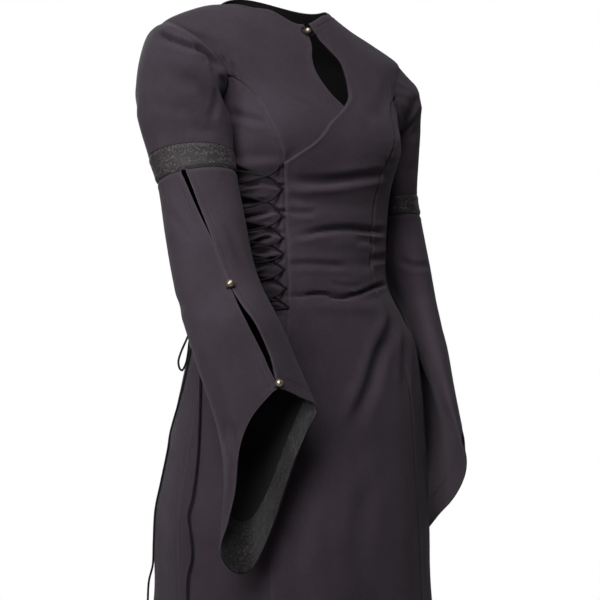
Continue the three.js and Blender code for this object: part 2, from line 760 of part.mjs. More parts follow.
function addBody() {
  add('front_panel', panelGeometry({
    levels: bodyLevels(FRONT_STEP),
    from: (level) => (level > WRAP_FOOT ? wrapEdge(level) : -frontSeam(level)),
    to: armSide,
    columns: 11,
    edges: ['first', 'last'],
  }), COTTON);
  add('right_bust_panel', panelGeometry({
    levels: bodyLevels(TORSO_STEP).filter((level) => level >= BUST_PANEL_FOOT),
    from: (level) => -armSide(level),
    to: bustEdge,
    columns: 8,
    edges: ['first'],
    sink: lapSink,
  }), COTTON);
  const sideLevels = (step) => bodyLevels(step).filter((level) => level <= SIDE_PANEL_TOP);
  add('right_side_panel', panelGeometry({
    levels: sideLevels(GATHER_STEP),
    from: (level) => -sidePanelBack(level),
    to: (level) => -frontSeam(level),
    columns: 8,
    edges: ['first', 'last'],
  }), COTTON);
  add('left_side_panel', panelGeometry({
    levels: sideLevels(TORSO_STEP),
    from: frontSeam,
    to: sidePanelBack,
    columns: 5,
    edges: ['first', 'last'],
  }), COTTON);
  add('back_panel', panelGeometry({
    levels: bodyLevels(BACK_STEP).filter((level) => level !== SIDE_PANEL_TOP),
    from: backSide,
    to: (level) => 360 - backSide(level),
    columns: 14,
    edges: ['first', 'last'],
  }), COTTON);
}

// Sleeves
const UPPER_REACHES = [0, 8, 22, 42, 66, 94, BAND.from - 0.2];
const LOWER_REACHES = [
  BAND.to + 0.2, 172, 192, 215, 235, 252, 270, 300, 330, 362, 394, 424, 450, 470, 486, MOUTH_REACH,
];
const TRIM_REACHES = [MOUTH_REACH - TRIM_WIDTH, 486, MOUTH_REACH - 0.5];

function addSleeve(side, word) {
  add(`upper_sleeve_${word}`, tubeGeometry({ side, reaches: UPPER_REACHES, edges: ['start'] }), COTTON);
  add(`arm_band_${word}`, tubeGeometry({
    side, reaches: [BAND.from + 0.2, BAND.to - 0.2], lift: BAND_LIFT, edges: [],
  }), BROCADE);
  add(`lower_sleeve_${word}`, slitSleeveGeometry({
    side, reaches: LOWER_REACHES, depth: 0, thickness: CLOTH, edges: [],
  }), COTTON);
  add(`cuff_trim_${word}`, slitSleeveGeometry({
    side, reaches: TRIM_REACHES, depth: CLOTH + TRIM_GAP, thickness: TRIM_CLOTH, edges: [],
  }), BROCADE);
  SLEEVE_BEADS.forEach((reach, i) => {
    const centre = sleevePoint(side, slitAt(side, reach), reach, BEAD_RADIUS + BEAD_GAP);
    addBead(`cuff_bead_${word}_${i + 1}`, centre);
  });
}

function addBead(name, centre) {
  const ball = new THREE.SphereGeometry(BEAD_RADIUS, 10, 6);
  ball.translate(centre.x, centre.y, centre.z);
  add(name, ball, BEAD);
}

// Neck fastening
const NECK_BEAD = { at: 2.2, level: -22 };
const NECK_LOOP = table(['at', 'level'], [
  [11, -26.5], [7, -27.5], [2.8, -28.5], [-1, -26], [-2, -22], [-1, -18.5], [2.2, -16.4],
]);

function addNeckFastening() {
  addBead('neck_bead', bodyPoint(NECK_BEAD.at, NECK_BEAD.level, BEAD_RADIUS + BEAD_GAP));
  const path = NECK_LOOP.map((row) => bodyPoint(row.at, row.level, LOOP_RADIUS + 0.3));
  add('neck_loop', cordGeometry(path, LOOP_RADIUS, 16), LACE);
}

function addLacing() {
  const runs = (LACE_LEVELS.length - 1) * LACE_STEPS_PER_RUN;
  const lastRun = LAST_RUN.map((row) => lacingOver(row.at, row.level));
  const over = [...lacePath(0), ...toKnot(75)];
  const under = [...lacePath(1), ...lastRun, ...toKnot(25)];
  add('lacing_over', cordGeometry(over, LACE_RADIUS, runs + 2), LACE);
  add('lacing_under', cordGeometry(under, LACE_RADIUS, runs + 6), LACE);
  const knot = new THREE.SphereGeometry(KNOT.radius, 8, 6);
  knot.translate(KNOT_PLACE.x, KNOT_PLACE.y, KNOT_PLACE.z);
  add('lace_knot', knot, LACE);
  const loop = (rows, from, to) => [...fromKnot(from), ...alongSkirt(rows), ...toKnot(to)];
  add('bow_loop_back', cordGeometry(loop(BOW_BACK, 125, 170), LACE_RADIUS, 20), LACE);
  add('bow_loop_front', cordGeometry(loop(BOW_FRONT, -20, -60), LACE_RADIUS, 20), LACE);
  const tail = (rows, from) => [...fromKnot(from), ...alongSkirt(rows)];
  add('lace_end_back', cordGeometry(tail(BACK_TAIL, 215), LACE_RADIUS, 38), LACE);
  add('lace_end_front', cordGeometry(tail(FRONT_TAIL, 260), LACE_RADIUS, 36), LACE);
}

addBody();
addSleeve(-1, 'right');
addSleeve(1, 'left');
addNeckFastening();
addLacing();

export default group;
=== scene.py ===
"""A floor-length laced gown with drop sleeves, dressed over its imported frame.

The form functions work in millimetres in the frame's axes: +Z up, the wearer faces -Y and the
wearer's left is +X. Blender objects are made in metres. Every shell follows the same form as
the solids: angle and level on the body, angle and reach on a sleeve.
"""
import math

import bpy
import numpy as np
from mathutils import Euler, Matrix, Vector


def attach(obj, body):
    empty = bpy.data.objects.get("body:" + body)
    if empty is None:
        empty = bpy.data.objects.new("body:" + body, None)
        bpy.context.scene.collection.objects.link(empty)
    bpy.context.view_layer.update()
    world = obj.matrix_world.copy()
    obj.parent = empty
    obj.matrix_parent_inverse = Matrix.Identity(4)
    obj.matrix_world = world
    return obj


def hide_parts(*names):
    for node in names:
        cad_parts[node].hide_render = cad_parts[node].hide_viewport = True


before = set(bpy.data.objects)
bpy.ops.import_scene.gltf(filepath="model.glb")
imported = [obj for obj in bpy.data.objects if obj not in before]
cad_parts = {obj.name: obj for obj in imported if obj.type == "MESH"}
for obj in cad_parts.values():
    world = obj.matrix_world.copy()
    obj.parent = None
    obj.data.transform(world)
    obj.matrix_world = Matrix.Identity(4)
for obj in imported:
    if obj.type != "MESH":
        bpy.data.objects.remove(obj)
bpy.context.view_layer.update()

# Driving sizes of the cut, in millimetres
MM = 0.001
CLOTH = 1.6
TRIM_CLOTH = 1.0
TRIM_GAP = 0.4
BAND_LIFT = 1.0
TRIM_WIDTH = 30
HEM, WAIST, NECK, SHOULDER, UNDERARM = -1385, -372, -12, -62, -150
WRAP_FOOT, BUST_PANEL_FOOT, SIDE_PANEL_TOP = -216, -208, -110
LAP_DEPTH = 2.3
BEAD_RADIUS, BEAD_GAP = 5.4, 0.3
LACE_RADIUS, LACE_CLEAR, LACE_CROSS_LIFT = 1.5, -0.8, 3.2
LOOP_RADIUS = 0.9
BODY_SQUARENESS = 0.02
SIDES = ((-1, "right"), (1, "left"))


def ease(start, end, x):
    k = np.clip((x - start) / (end - start), 0, 1)
    return k * k * (3 - 2 * k)


def bell(x):
    return np.exp(-x * x)


def mix(a, b, k):
    return a + (b - a) * k


def wrapped(angle):
    """An angle in degrees, brought between -180 and 180."""
    return (angle + 540) % 360 - 180


def neighbours(count):
    """The places before and after each of a row of values, held at its ends."""
    steps = np.arange(count)
    return np.maximum(steps - 1, 0), np.minimum(steps + 1, count - 1)


def stretch_of(xs, x):
    """The stretch of xs in which each x lies."""
    return np.clip(np.searchsorted(xs, x, side="right") - 1, 0, len(xs) - 2)


def hermite(k, span, a, b, slope_a, slope_b):
    """The cubic from a to b over a span, with the slopes given at its ends."""
    k2, k3 = k * k, k * k * k
    return ((2 * k3 - 3 * k2 + 1) * a + (k3 - 2 * k2 + k) * span * slope_a
            + (3 * k2 - 2 * k3) * b + (k3 - k2) * span * slope_b)


def curve(xs, ys):
    """A smooth curve through the points, as a function of x."""
    xs, ys = np.asarray(xs, float), np.asarray(ys, float)
    before, after = neighbours(len(xs))
    slopes = (ys[after] - ys[before]) / (xs[after] - xs[before])

    def at(x):
        x = np.clip(x, xs[0], xs[-1])
        i = stretch_of(xs, x)
        span = xs[i + 1] - xs[i]
        return hermite((x - xs[i]) / span, span, ys[i], ys[i + 1], slopes[i], slopes[i + 1])

    return at


def edge_line(places):
    """An edge's angle at every level, from its (level, angle) places."""
    return curve(*np.array(places, float).T)


def curves(columns, rows):
    """One curve for each column of a table, against its first column."""
    data = np.array(rows, float)
    return {name: curve(data[:, 0], data[:, k + 1]) for k, name in enumerate(columns)}


# The body: level is the height at the front, side and back the heights there, width the
# half-width, front and rear the depths, shift the centre's move left, tilt lifts the right side
BODY = curves(["side", "back", "width", "front", "rear", "shift", "tilt"], [
    [HEM, HEM, HEM, 262, 222, 236, 10, 0],
    [-1150, -1150, -1150, 238, 202, 214, 10, 0],
    [-950, -950, -950, 215, 182, 192, 9, 0],
    [-820, -820, -820, 201, 168, 174, 9, 0],
    [-700, -700, -700, 203, 155, 164, 9, 0],
    [-570, -570, -570, 191, 136, 146, 20, 0],
    [-490, -490, -490, 180, 123, 129, 25, 0],
    [-450, -450, -450, 171, 119, 117, 24, 0],
    [-420, -420, -420, 159, 116, 106, 17, 0],
    [WAIST, WAIST, WAIST, 144, 112, 93, 4, 0],
    [-320, -320, -320, 145, 113, 90, 1, 0],
    [-270, -270, -270, 149, 115, 92, 0, 0],
    [-235, -235, -235, 152, 118, 94, 0, 0],
    [-178, -178, -178, 163, 122, 100, 0, 0],
    [UNDERARM, UNDERARM, UNDERARM, 166, 119, 104, -2, 2],
    [-125, -118, -122, 172, 112, 108, -4, 5],
    [-100, -82, -90, 182, 103, 109, -7, 8],
    [-78, -48, -58, 190, 94, 106, -10, 11],
    [SHOULDER, -29, -32, 191, 87, 101, -13, 12],
    [-48, -8.5, -7, 152, 81, 95, -16, 10.5],
    [-35, 6.5, 14, 114, 74, 89, -19, 6.5],
    [NECK, 21, 48, 77, 62, 80, -23, -3],
])
NECK_RISE = {"at": 32, "breadth": 18, "height": 8, "from": -60}
BUST = {"level": -178, "at": 32, "rise": 17, "breadth": 24, "height": 52}

# Long skirt folds: angle, breadth in degrees, the level where each starts, depth at the hem
SKIRT_FOLDS = [
    (-168, 13, -560, 17), (-143, 10, -520, -15), (-119, 10, -560, 13), (-98, 9, -470, -9),
    (-62, 11, -640, 9), (-44, 8, -620, -10), (-16, 11, -700, 8), (5, 9, -560, -9),
    (24, 8, -430, 9), (43, 8, -480, -12), (66, 11, -560, 12), (94, 10, -500, -11),
    (121, 12, -540, 16), (147, 10, -480, -14), (173, 9, -600, -9),
]
# Short creases across the front: level, angle, reach in degrees, depth, breadth
FRONT_CREASES = [
    (-232, -8, 26, 3.6, 9), (-268, 4, 20, 1.6, 9), (-303, 4, 34, 3.2, 9),
    (-349, 26, 15, 2.2, 8), (-393, 2, 34, 3.8, 9),
]
# Levels of the lacing's turning points, with the cloth gathered between them
LACE_LEVELS = np.array([-218, -250, -286, -316, -337, -358, -384, -410], float)
GATHER_DEPTH, GATHER_MARGIN = 2.2, 24

# Panel edges: angle at each level
front_seam = edge_line([
    (HEM, 38), (-820, 38), (-640, 37), (-480, 35), (-420, 32), (WAIST, 29), (-300, 29),
    (WRAP_FOOT, 30), (-190, 31.5), (-161, 35), (-131, 38.5), (-118, 42), (-111, 46), (-106, 50),
])
side_seam = edge_line([(HEM, 86), (-600, 84), (WAIST, 84), (-216, 87), (UNDERARM, 90)])
wrap_edge = edge_line([
    (WRAP_FOOT, -30), (-200, -21.5), (-183.5, -13.5), (-156, -4.5), (-136, 4), (-118, 10),
    (-101, 11.7), (-72, 12.3), (-48, 11.5), (-30, 11), (NECK, 11),
])
bust_edge = edge_line([
    (-222, -22), (-205, -13), (-183, -3), (-160, 6), (-145, 9), (-130, 6.5),
    (-113, 1.5), (-84.5, -2.8), (-60, -2), (-34, 2.4), (NECK, 4),
])
ARMHOLE = {"level": (SHOULDER + UNDERARM) / 2, "half": (SHOULDER - UNDERARM) / 2,
           "front": 40, "back": 34}


def armhole_reach(level):
    cosine = np.clip((level - ARMHOLE["level"]) / ARMHOLE["half"], -1, 1)
    return np.sqrt(1 - cosine * cosine)


def lace_interval(level):
    """How many turning points of the lacing lie above a level, with its part of the next gap."""
    flipped, count = -LACE_LEVELS, np.arange(len(LACE_LEVELS), dtype=float)
    inside = np.interp(-level, flipped, count)
    above = (LACE_LEVELS[0] - level) / (LACE_LEVELS[0] - LACE_LEVELS[1])
    below = count[-1] + (LACE_LEVELS[-1] - level) / (LACE_LEVELS[-2] - LACE_LEVELS[-1])
    return np.where(level > LACE_LEVELS[0], above, np.where(level < LACE_LEVELS[-1], below, inside))


def skirt_folds(at, level):
    out = 0.0
    for place, breadth, top, depth in SKIRT_FOLDS:
        drop = np.clip((top - level) / (top - HEM), 0, 1)
        out = out + depth * drop ** 1.2 * bell(wrapped(at - place) / breadth)
    return out


def front_creases(at, level):
    out = 0.0
    for place, middle, reach, depth, breadth in FRONT_CREASES:
        along = bell((at - middle) / reach) * ease(33, 25, np.abs(at))
        across = (level - place) / breadth
        out = out + depth * along * (0.6 * bell(across + 1.7) - bell(across))
    return out


def gather_share(at):
    return ease(-31, -37, at) * ease(-83, -77, at)


def gathers(at, level):
    top, foot = LACE_LEVELS[0], LACE_LEVELS[-1]
    within = ease(top + GATHER_MARGIN, top, level) * ease(foot - GATHER_MARGIN, foot, level)
    return GATHER_DEPTH * within * gather_share(at) * np.cos(2 * np.pi * lace_interval(level))


def neck_rise(turn, level):
    """The front neck edge climbs steeply from the keyhole towards the shoulders."""
    around = bell((np.abs(turn) - NECK_RISE["at"]) / NECK_RISE["breadth"])
    return NECK_RISE["height"] * around * ease(NECK_RISE["from"], NECK, level)


def body_point(at, level, out=0.0):
    """Points of the body surface (at 0 front, 90 the wearer's left), moved out by out before folds."""
    at, level = np.broadcast_arrays(np.asarray(at, float), np.asarray(level, float))
    s, c = np.sin(np.radians(at)), np.cos(np.radians(at))
    turn = wrapped(at)
    square = 1 + BODY_SQUARENESS * np.sin(2 * np.radians(at)) ** 2
    mound = BUST["rise"] * bell((level - BUST["level"]) / BUST["height"]) * (
        bell((turn - BUST["at"]) / BUST["breadth"]) + bell((turn + BUST["at"]) / BUST["breadth"]))
    out = out + mound + skirt_folds(turn, level) + front_creases(turn, level) + gathers(turn, level)
    depth = np.where(c > 0, BODY["front"](level), BODY["rear"](level))
    centre = np.where(c > 0, level, BODY["back"](level))
    x = BODY["shift"](level) + BODY["width"](level) * square * s + out * s
    y = -depth * square * c - out * c
    z = mix(centre, BODY["side"](level), s * s) - BODY["tilt"](level) * s * np.abs(s)
    return np.stack([x, y, z + neck_rise(turn, level)], -1)


def unit(v):
    return v / np.maximum(np.linalg.norm(v, axis=-1, keepdims=True), 1e-9)


def body_normal(at, level):
    low, high = np.maximum(level - 1.5, HEM), np.minimum(level + 1.5, NECK)
    along = body_point(at + 0.6, level) - body_point(at - 0.6, level)
    up = body_point(at, high) - body_point(at, low)
    return unit(np.cross(along, up))


# Sleeves: a row for each ring, with its reach along the sleeve, its middle's way out, y and z,
# its lean, pitch and turn, its half-width and half-depth, and how flat its body side is
RIGHT_RINGS = [
    (18, 200, -34, -99.5, 57, 10, -18, 72, 78, 0.3),
    (62, 197, -42, -150, 26, 14, -24, 69, 59, 0.46),
    (120, 192, -52, -205, 8, 18, -33, 58, 41, 0.2),
    (156, 188, -61, -240, 2, 18, -33, 54, 38, 0.14),
    (230, 184, -77, -310, 0, 17, -33, 55, 39, 0.04),
    (302, 178, -96, -382, 0, 26, -30, 56, 43, 0),
    (392, 158, -127, -472, 0, 46, -20, 62, 66, 0),
]
LEFT_RINGS = [
    (18, 191, 6, -112, 62, 3, 0, 49, 52, 0.16),
    (62, 195, 18, -152, 30, 3, 0, 43, 52, 0.44),
    (120, 191, 22, -236, 6, 3, 0, 38, 52, 0.22),
    (156, 192, 16, -272, 2, 6, 0, 38, 52, 0.05),
    (230, 193, -6, -344, 0, 12, 4, 36, 54, 0.04),
    (302, 209, -18, -412, 0, 22, 14, 30, 54, 0.34),
    (392, 220, -50, -496, 0, 42, 26, 25, 60, 0.5),
]
FLAT = {"phi": 200, "breadth": 38}
# The mouth's rim: angle round the sleeve, way out, y and z
MOUTH_REACH = 500
RIGHT_MOUTH = [
    (10, 188, -170, -597), (35, 177, -178, -560), (60, 158, -187, -533), (85, 141, -191, -520),
    (120, 106, -187, -530), (152, 73, -180, -546), (172, 86, -175, -577), (192, 104, -169, -622),
    (212, 127, -158, -697), (232, 143, -153, -735), (250, 157, -150, -755), (266, 175, -148, -760),
    (283, 194, -148, -749), (300, 205, -150, -728), (322, 197, -156, -692), (345, 190, -162, -652),
]
LEFT_MOUTH = [
    (10, 228, -111, -637), (35, 220, -123, -612), (60, 211, -132, -594), (85, 202, -138, -585),
    (120, 194, -148, -597), (152, 195, -155, -625), (172, 197, -146, -650), (192, 197, -122, -679),
    (212, 204, -72, -711), (232, 216, -24, -742), (250, 218, 6, -776), (266, 223, 22, -795),
    (283, 229, 10, -776), (300, 232, -12, -744), (322, 233, -40, -707), (345, 232, -84, -662),
]
DRAW = {"reach": 445, "share": 0.5}
RIGHT_DRAW = {"phi": 305, "breadth": 55, "out": -13, "back": -6}
LEFT_DRAW = {"phi": 236, "breadth": 62, "out": 13, "back": 0}
POSES = {-1: (RIGHT_RINGS, RIGHT_MOUTH, RIGHT_DRAW), 1: (LEFT_RINGS, LEFT_MOUTH, LEFT_DRAW)}

# The slit along the top of the lower sleeve: its angle on each side and how far it stands open
SLIT = curves(["right", "left", "gap"], [
    (156, 33, 2, 9), (198, 47, 0, 6.5), (230, 58, -3, 4), (256, 66, -5, 0.8),
    (291, 71, -7, 0.8), (335, 72, -8, 0.8), (375, 72, -8, 4.5), (408, 76, -7, 8.5),
    (447, 82, -6, 8.5), (470, 83, -5, 6), (489, 84, -5, 1.2), (MOUTH_REACH, 85, -5, 5),
])
SLEEVE_RADIUS = 52
SLEEVE_BEADS = [332, 492]
BAND = {"from": 122, "to": 154}


def slit_at(side, reach):
    return SLIT["right" if side < 0 else "left"](reach)


def ring_point(ring, side, phi):
    _, out, y, z, lean, pitch, turn, wide, deep, flat = ring
    a, b = np.radians(phi), np.radians(phi - turn)
    lean, pitch = np.radians(lean), np.radians(pitch)
    flat = flat * bell((phi % 360 - FLAT["phi"]) / FLAT["breadth"])
    radius = (1 - flat) / np.hypot(np.cos(b) / wide, np.sin(b) / deep)
    outwards = radius * np.cos(a) * np.cos(lean)
    fallen = -radius * np.cos(a) * np.sin(lean)
    forward = radius * np.sin(a)
    down = fallen * np.cos(pitch) - forward * np.sin(pitch)
    front = fallen * np.sin(pitch) + forward * np.cos(pitch)
    return np.stack([side * (out + outwards), y - front, z - down], -1)


def armhole_angle(side, phi):
    a = np.radians(phi)
    reach = np.where(np.sin(a) > 0, ARMHOLE["front"], ARMHOLE["back"])
    return side * (90 - reach * np.sin(a)), ARMHOLE["level"] + ARMHOLE["half"] * np.cos(a)


def armhole_point(side, phi):
    return body_point(*armhole_angle(side, phi))


def mouth_point(mouth, side, phi):
    rows = np.array(mouth, float)
    around = np.concatenate([rows - [360, 0, 0, 0], rows, rows + [360, 0, 0, 0]])
    out, y, z = (curve(around[:, 0], around[:, k])(phi % 360) for k in (1, 2, 3))
    return np.stack([side * out, y, z], -1)


def sleeve_stops(side, phi):
    """The reaches at which the sleeve's form is given, and its points there."""
    rings, mouth, draw = POSES[side]
    points = [armhole_point(side, phi)] + [ring_point(ring, side, phi) for ring in rings]
    rim = mouth_point(mouth, side, phi)
    share = bell(wrapped(phi - draw["phi"]) / draw["breadth"])[..., None]
    drawn = mix(points[-1], rim, DRAW["share"])
    drawn = drawn + share * np.array([side * draw["out"], draw["back"], 0.0])
    reaches = [0] + [ring[0] for ring in rings] + [DRAW["reach"], MOUTH_REACH]
    return np.array(reaches, float), np.stack(points + [drawn, rim], 0)


def sleeve_point(side, phi, reach):
    """Points of a sleeve (phi 0 outer, 90 front, 180 body side; reach along it from the armhole)."""
    phi, reach = np.broadcast_arrays(np.asarray(phi, float), np.asarray(reach, float))
    xs, points = sleeve_stops(side, phi)
    before, after = neighbours(len(xs))
    spans = (xs[after] - xs[before]).reshape((-1,) + (1,) * phi.ndim + (1,))
    slopes = (points[after] - points[before]) / spans
    x = np.clip(reach, xs[0], xs[-1])
    i = stretch_of(xs, x)
    pick = lambda table, k: np.take_along_axis(table, k[None, ..., None], 0)[0]
    span = (xs[i + 1] - xs[i])[..., None]
    k = (x - xs[i])[..., None] / span
    return hermite(k, span, pick(points, i), pick(points, i + 1), pick(slopes, i), pick(slopes, i + 1))


def sleeve_normal(side, phi, reach):
    low, high = np.maximum(reach - 2, 0), np.minimum(reach + 2, MOUTH_REACH)
    around = sleeve_point(side, phi + 2, reach) - sleeve_point(side, phi - 2, reach)
    down = sleeve_point(side, phi, high) - sleeve_point(side, phi, low)
    return unit(np.cross(down, around) * -side)


def on_sleeve(side, phi, reach, offset):
    """Points at an offset out from a sleeve's surface along its normal."""
    phi, reach, offset = (np.asarray(value, float) for value in (phi, reach, offset))
    return sleeve_point(side, phi, reach) + sleeve_normal(side, phi, reach) * offset[..., None]


def slit_open(reach):
    """Half the slit's opening, as an angle."""
    return np.degrees(SLIT["gap"](reach) / 2 / SLEEVE_RADIUS)


# Edges of the body panels, each an angle for every level
def arm_side(level):
    head = 90 - ARMHOLE["front"] * armhole_reach(level)
    return np.where(level >= SHOULDER, 90, np.where(level >= ARMHOLE["level"], head, front_seam(level)))


def back_side(level):
    scye = 90 + ARMHOLE["back"] * armhole_reach(level)
    return np.where(level >= SHOULDER, 90, np.where(level > UNDERARM, scye, side_seam(level)))


def side_panel_back(level):
    scye = 90 - ARMHOLE["front"] * armhole_reach(level)
    return np.where(level > UNDERARM, scye, side_seam(level))


def lap_sink(at, level):
    """How far the bust panel sinks to lie under the wrap."""
    seam = -arm_side(level)
    ramp = np.clip(0.7 * (wrap_edge(level) - seam), 1.2, 9)
    return LAP_DEPTH * ease(0, ramp, at - seam) * ease(-60, -125, level)


# Camera, fitted to the photograph: it looks at the wearer's right front, a little from below
CAMERA = {"yaw": 33, "distance": 2.5, "height": -0.493, "lens": 105, "sensor": 36, "pitch": 2.23,
          "turn": 0.33}


def show(name, data):
    """A new object in the scene for a mesh, a light or the camera."""
    obj = bpy.data.objects.new(name, data)
    bpy.context.scene.collection.objects.link(obj)
    return obj


def add_camera():
    data = bpy.data.cameras.new("camera")
    data.lens = CAMERA["lens"]
    data.sensor_width = CAMERA["sensor"]
    camera = show("camera", data)
    yaw = math.radians(CAMERA["yaw"])
    away = CAMERA["distance"]
    camera.location = (-away * math.sin(yaw), -away * math.cos(yaw), CAMERA["height"])
    tilt = math.radians(90 + CAMERA["pitch"])
    camera.rotation_euler = Euler((tilt, 0, -yaw - math.radians(CAMERA["turn"])))
    bpy.context.scene.camera = camera


add_camera()


# Node materials

def new_material(name, roughness, metallic=0.0, specular=0.5, sheen=0.0):
    material = bpy.data.materials.new(name)
    material.use_nodes = True
    shader = material.node_tree.nodes["Principled BSDF"]
    for entry, value in (("Roughness", roughness), ("Metallic", metallic),
                         ("Specular IOR Level", specular), ("Sheen Weight", sheen)):
        shader.inputs[entry].default_value = value
    return material, material.node_tree, shader


def add_node(tree, kind, **values):
    node = tree.nodes.new(kind)
    for key, value in values.items():
        if key in node.inputs:
            node.inputs[key].default_value = value
        else:
            setattr(node, key, value)
    return node


def coordinates(tree, kind):
    """The UV map, or the place on the object, as a vector output."""
    if kind == "UV":
        return add_node(tree, "ShaderNodeUVMap").outputs["UV"]
    return add_node(tree, "ShaderNodeTexCoord").outputs["Object"]


def noise(tree, place, scale, detail, output="Fac", **more):
    """An output of a noise texture on a vector output."""
    node = add_node(tree, "ShaderNodeTexNoise", Scale=scale, Detail=detail, **more)
    tree.links.new(place, node.inputs["Vector"])
    return node.outputs[output]


def blend_colors(tree, factor, a, b):
    """A node that mixes two colours, or two colour outputs, by a factor output."""
    node = add_node(tree, "ShaderNodeMix", data_type="RGBA")
    tree.links.new(factor, node.inputs["Factor"])
    for value, entry in ((a, 6), (b, 7)):
        if isinstance(value, tuple):
            node.inputs[entry].default_value = (*value, 1)
        else:
            tree.links.new(value, node.inputs[entry])
    return node.outputs[2]


def ramp_factor(tree, source, low, high):
    """A factor that goes from 0 to 1 while its source goes from low to high."""
    node = tree.nodes.new("ShaderNodeMapRange")
    node.inputs["From Min"].default_value = low
    node.inputs["From Max"].default_value = high
    tree.links.new(source, node.inputs["Value"])
    return node.outputs["Result"]


def weave_height(tree, thread):
    """A plain weave's height from the UV map, whose unit is a metre."""
    uv = coordinates(tree, "UV")
    both = add_node(tree, "ShaderNodeMath", operation="MULTIPLY")
    for entry, direction in enumerate(("X", "Y")):
        wave = add_node(tree, "ShaderNodeTexWave", bands_direction=direction,
                        Scale=WAVES_PER_UNIT / thread, Distortion=0.6)
        wave.inputs["Detail Scale"].default_value = 3
        tree.links.new(uv, wave.inputs["Vector"])
        tree.links.new(wave.outputs["Fac"], both.inputs[entry])
    return both.outputs[0]


def add_bump(tree, shader, height, strength, distance, before=None):
    bump = add_node(tree, "ShaderNodeBump", Strength=strength, Distance=distance)
    tree.links.new(height, bump.inputs["Height"])
    if before is not None:
        tree.links.new(before.outputs["Normal"], bump.inputs["Normal"])
    tree.links.new(bump.outputs["Normal"], shader.inputs["Normal"])
    return bump


# A wave texture of scale 1 has a wave for each 0.314 of its unit
WAVES_PER_UNIT = 0.314
COTTON_DARK = (0.0280, 0.0205, 0.0270)
COTTON_MID = (0.0385, 0.0290, 0.0385)
COTTON_WORN = (0.0720, 0.0590, 0.0710)
# The inner side's colour: the same cloth painted near black, as painted shade
COTTON_INSIDE_PAINTED_SHADE = (0.0050, 0.0040, 0.0048)


def cotton_material():
    """Charcoal cotton: woven, brushed a little grey where it is handled, with a soft sheen; its inner side
    is painted near black as painted shade.
    """
    material, tree, shader = new_material("charcoal_cotton", 0.88, specular=0.2, sheen=0.08)
    place = coordinates(tree, "Object")
    broad = noise(tree, place, 16, 6, Roughness=0.7)
    fine = noise(tree, place, 620, 4, Roughness=0.75)
    color = blend_colors(tree, ramp_factor(tree, broad, 0.35, 0.65), COTTON_DARK, COTTON_MID)
    color = blend_colors(tree, ramp_factor(tree, fine, 0.48, 1.05), color, COTTON_WORN)
    # Paler where the cloth is worn; the inner side is painted near black, as painted shade
    for name, shown in (("wear", COTTON_WORN), ("inside", COTTON_INSIDE_PAINTED_SHADE)):
        amount = add_node(tree, "ShaderNodeAttribute", attribute_name=name)
        color = blend_colors(tree, amount.outputs["Fac"], color, shown)
    tree.links.new(color, shader.inputs["Base Color"])
    shader.inputs["Sheen Roughness"].default_value = 0.5
    shader.inputs["Sheen Tint"].default_value = (0.75, 0.70, 0.80, 1)
    weave = add_bump(tree, shader, weave_height(tree, 0.0007), 0.35, 0.0003)
    add_bump(tree, shader, fine, 0.12, 0.0006, before=weave)
    return material


def brocade_material(name, ground, dull, bright):
    """Brocade: a dark ground under swirling silver threads."""
    material, tree, shader = new_material(name, 0.6, specular=0.3, sheen=0.05)
    uv = coordinates(tree, "UV")
    swirl = noise(tree, uv, 48, 1, "Color", Distortion=1.8)
    scrolls = add_node(tree, "ShaderNodeTexWave", wave_type="RINGS", rings_direction="SPHERICAL",
                       Scale=2.2, Distortion=2.5)
    tree.links.new(swirl, scrolls.inputs["Vector"])
    glint = noise(tree, uv, 420, 2)
    silver = blend_colors(tree, ramp_factor(tree, glint, 0.4, 0.6), dull, bright)
    threads = ramp_factor(tree, scrolls.outputs["Fac"], 0.62, 0.78)
    tree.links.new(blend_colors(tree, threads, ground, silver), shader.inputs["Base Color"])
    relief = add_bump(tree, shader, threads, 0.8, 0.0006)
    add_bump(tree, shader, weave_height(tree, 0.0005), 0.3, 0.0002, before=relief)
    return material


def mottled_material(name, roughness, scale, detail, colors, limits=None, bump=None, **more):
    """One colour mottled with another, with a bump from the same noise."""
    material, tree, shader = new_material(name, roughness, **more)
    amount = noise(tree, coordinates(tree, "Object"), scale, detail)
    factor = ramp_factor(tree, amount, *limits) if limits else amount
    tree.links.new(blend_colors(tree, factor, *colors), shader.inputs["Base Color"])
    if bump:
        add_bump(tree, shader, amount, *bump)
    return material


MATERIALS = {
    "cotton": cotton_material(),
    # The lacing cord, the same dark cotton, twisted
    "lace": mottled_material("dark_cord", 0.95, 900, 3,
                             [(0.0045, 0.0038, 0.0048), (0.016, 0.0135, 0.016)],
                             bump=(0.3, 0.0003), specular=0.15),
    "brocade": brocade_material("silver_brocade", (0.0165, 0.0135, 0.0160), (0.024, 0.020, 0.022),
                                (0.074, 0.064, 0.066)),
    # The same brocade painted darker, as painted shade, for the trim inside the sleeve's mouth
    "shaded_trim": brocade_material("brocade_trim_painted_shade", (0.0045, 0.0038, 0.0044),
                               (0.009, 0.0075, 0.0085), (0.032, 0.027, 0.028)),
    # Pale gold, worn brighter where it is touched
    "bead": mottled_material("pale_gold", 0.36, 260, 4, [(0.56, 0.47, 0.36), (0.24, 0.18, 0.13)],
                             limits=(0.35, 0.7), bump=(0.25, 0.0004), metallic=0.85),
    "thread": mottled_material("sewing_thread", 0.6, 1500, 1,
                               [(0.007, 0.006, 0.007), (0.024, 0.020, 0.024)]),
}


# Meshes

def finish_piece(obj, finish, nodes):
    """Gives a piece its material, its body and the nodes that it stands for."""
    obj.data.materials.append(MATERIALS[finish])
    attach(obj, "root")
    if nodes:
        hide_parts(*nodes)
    return obj


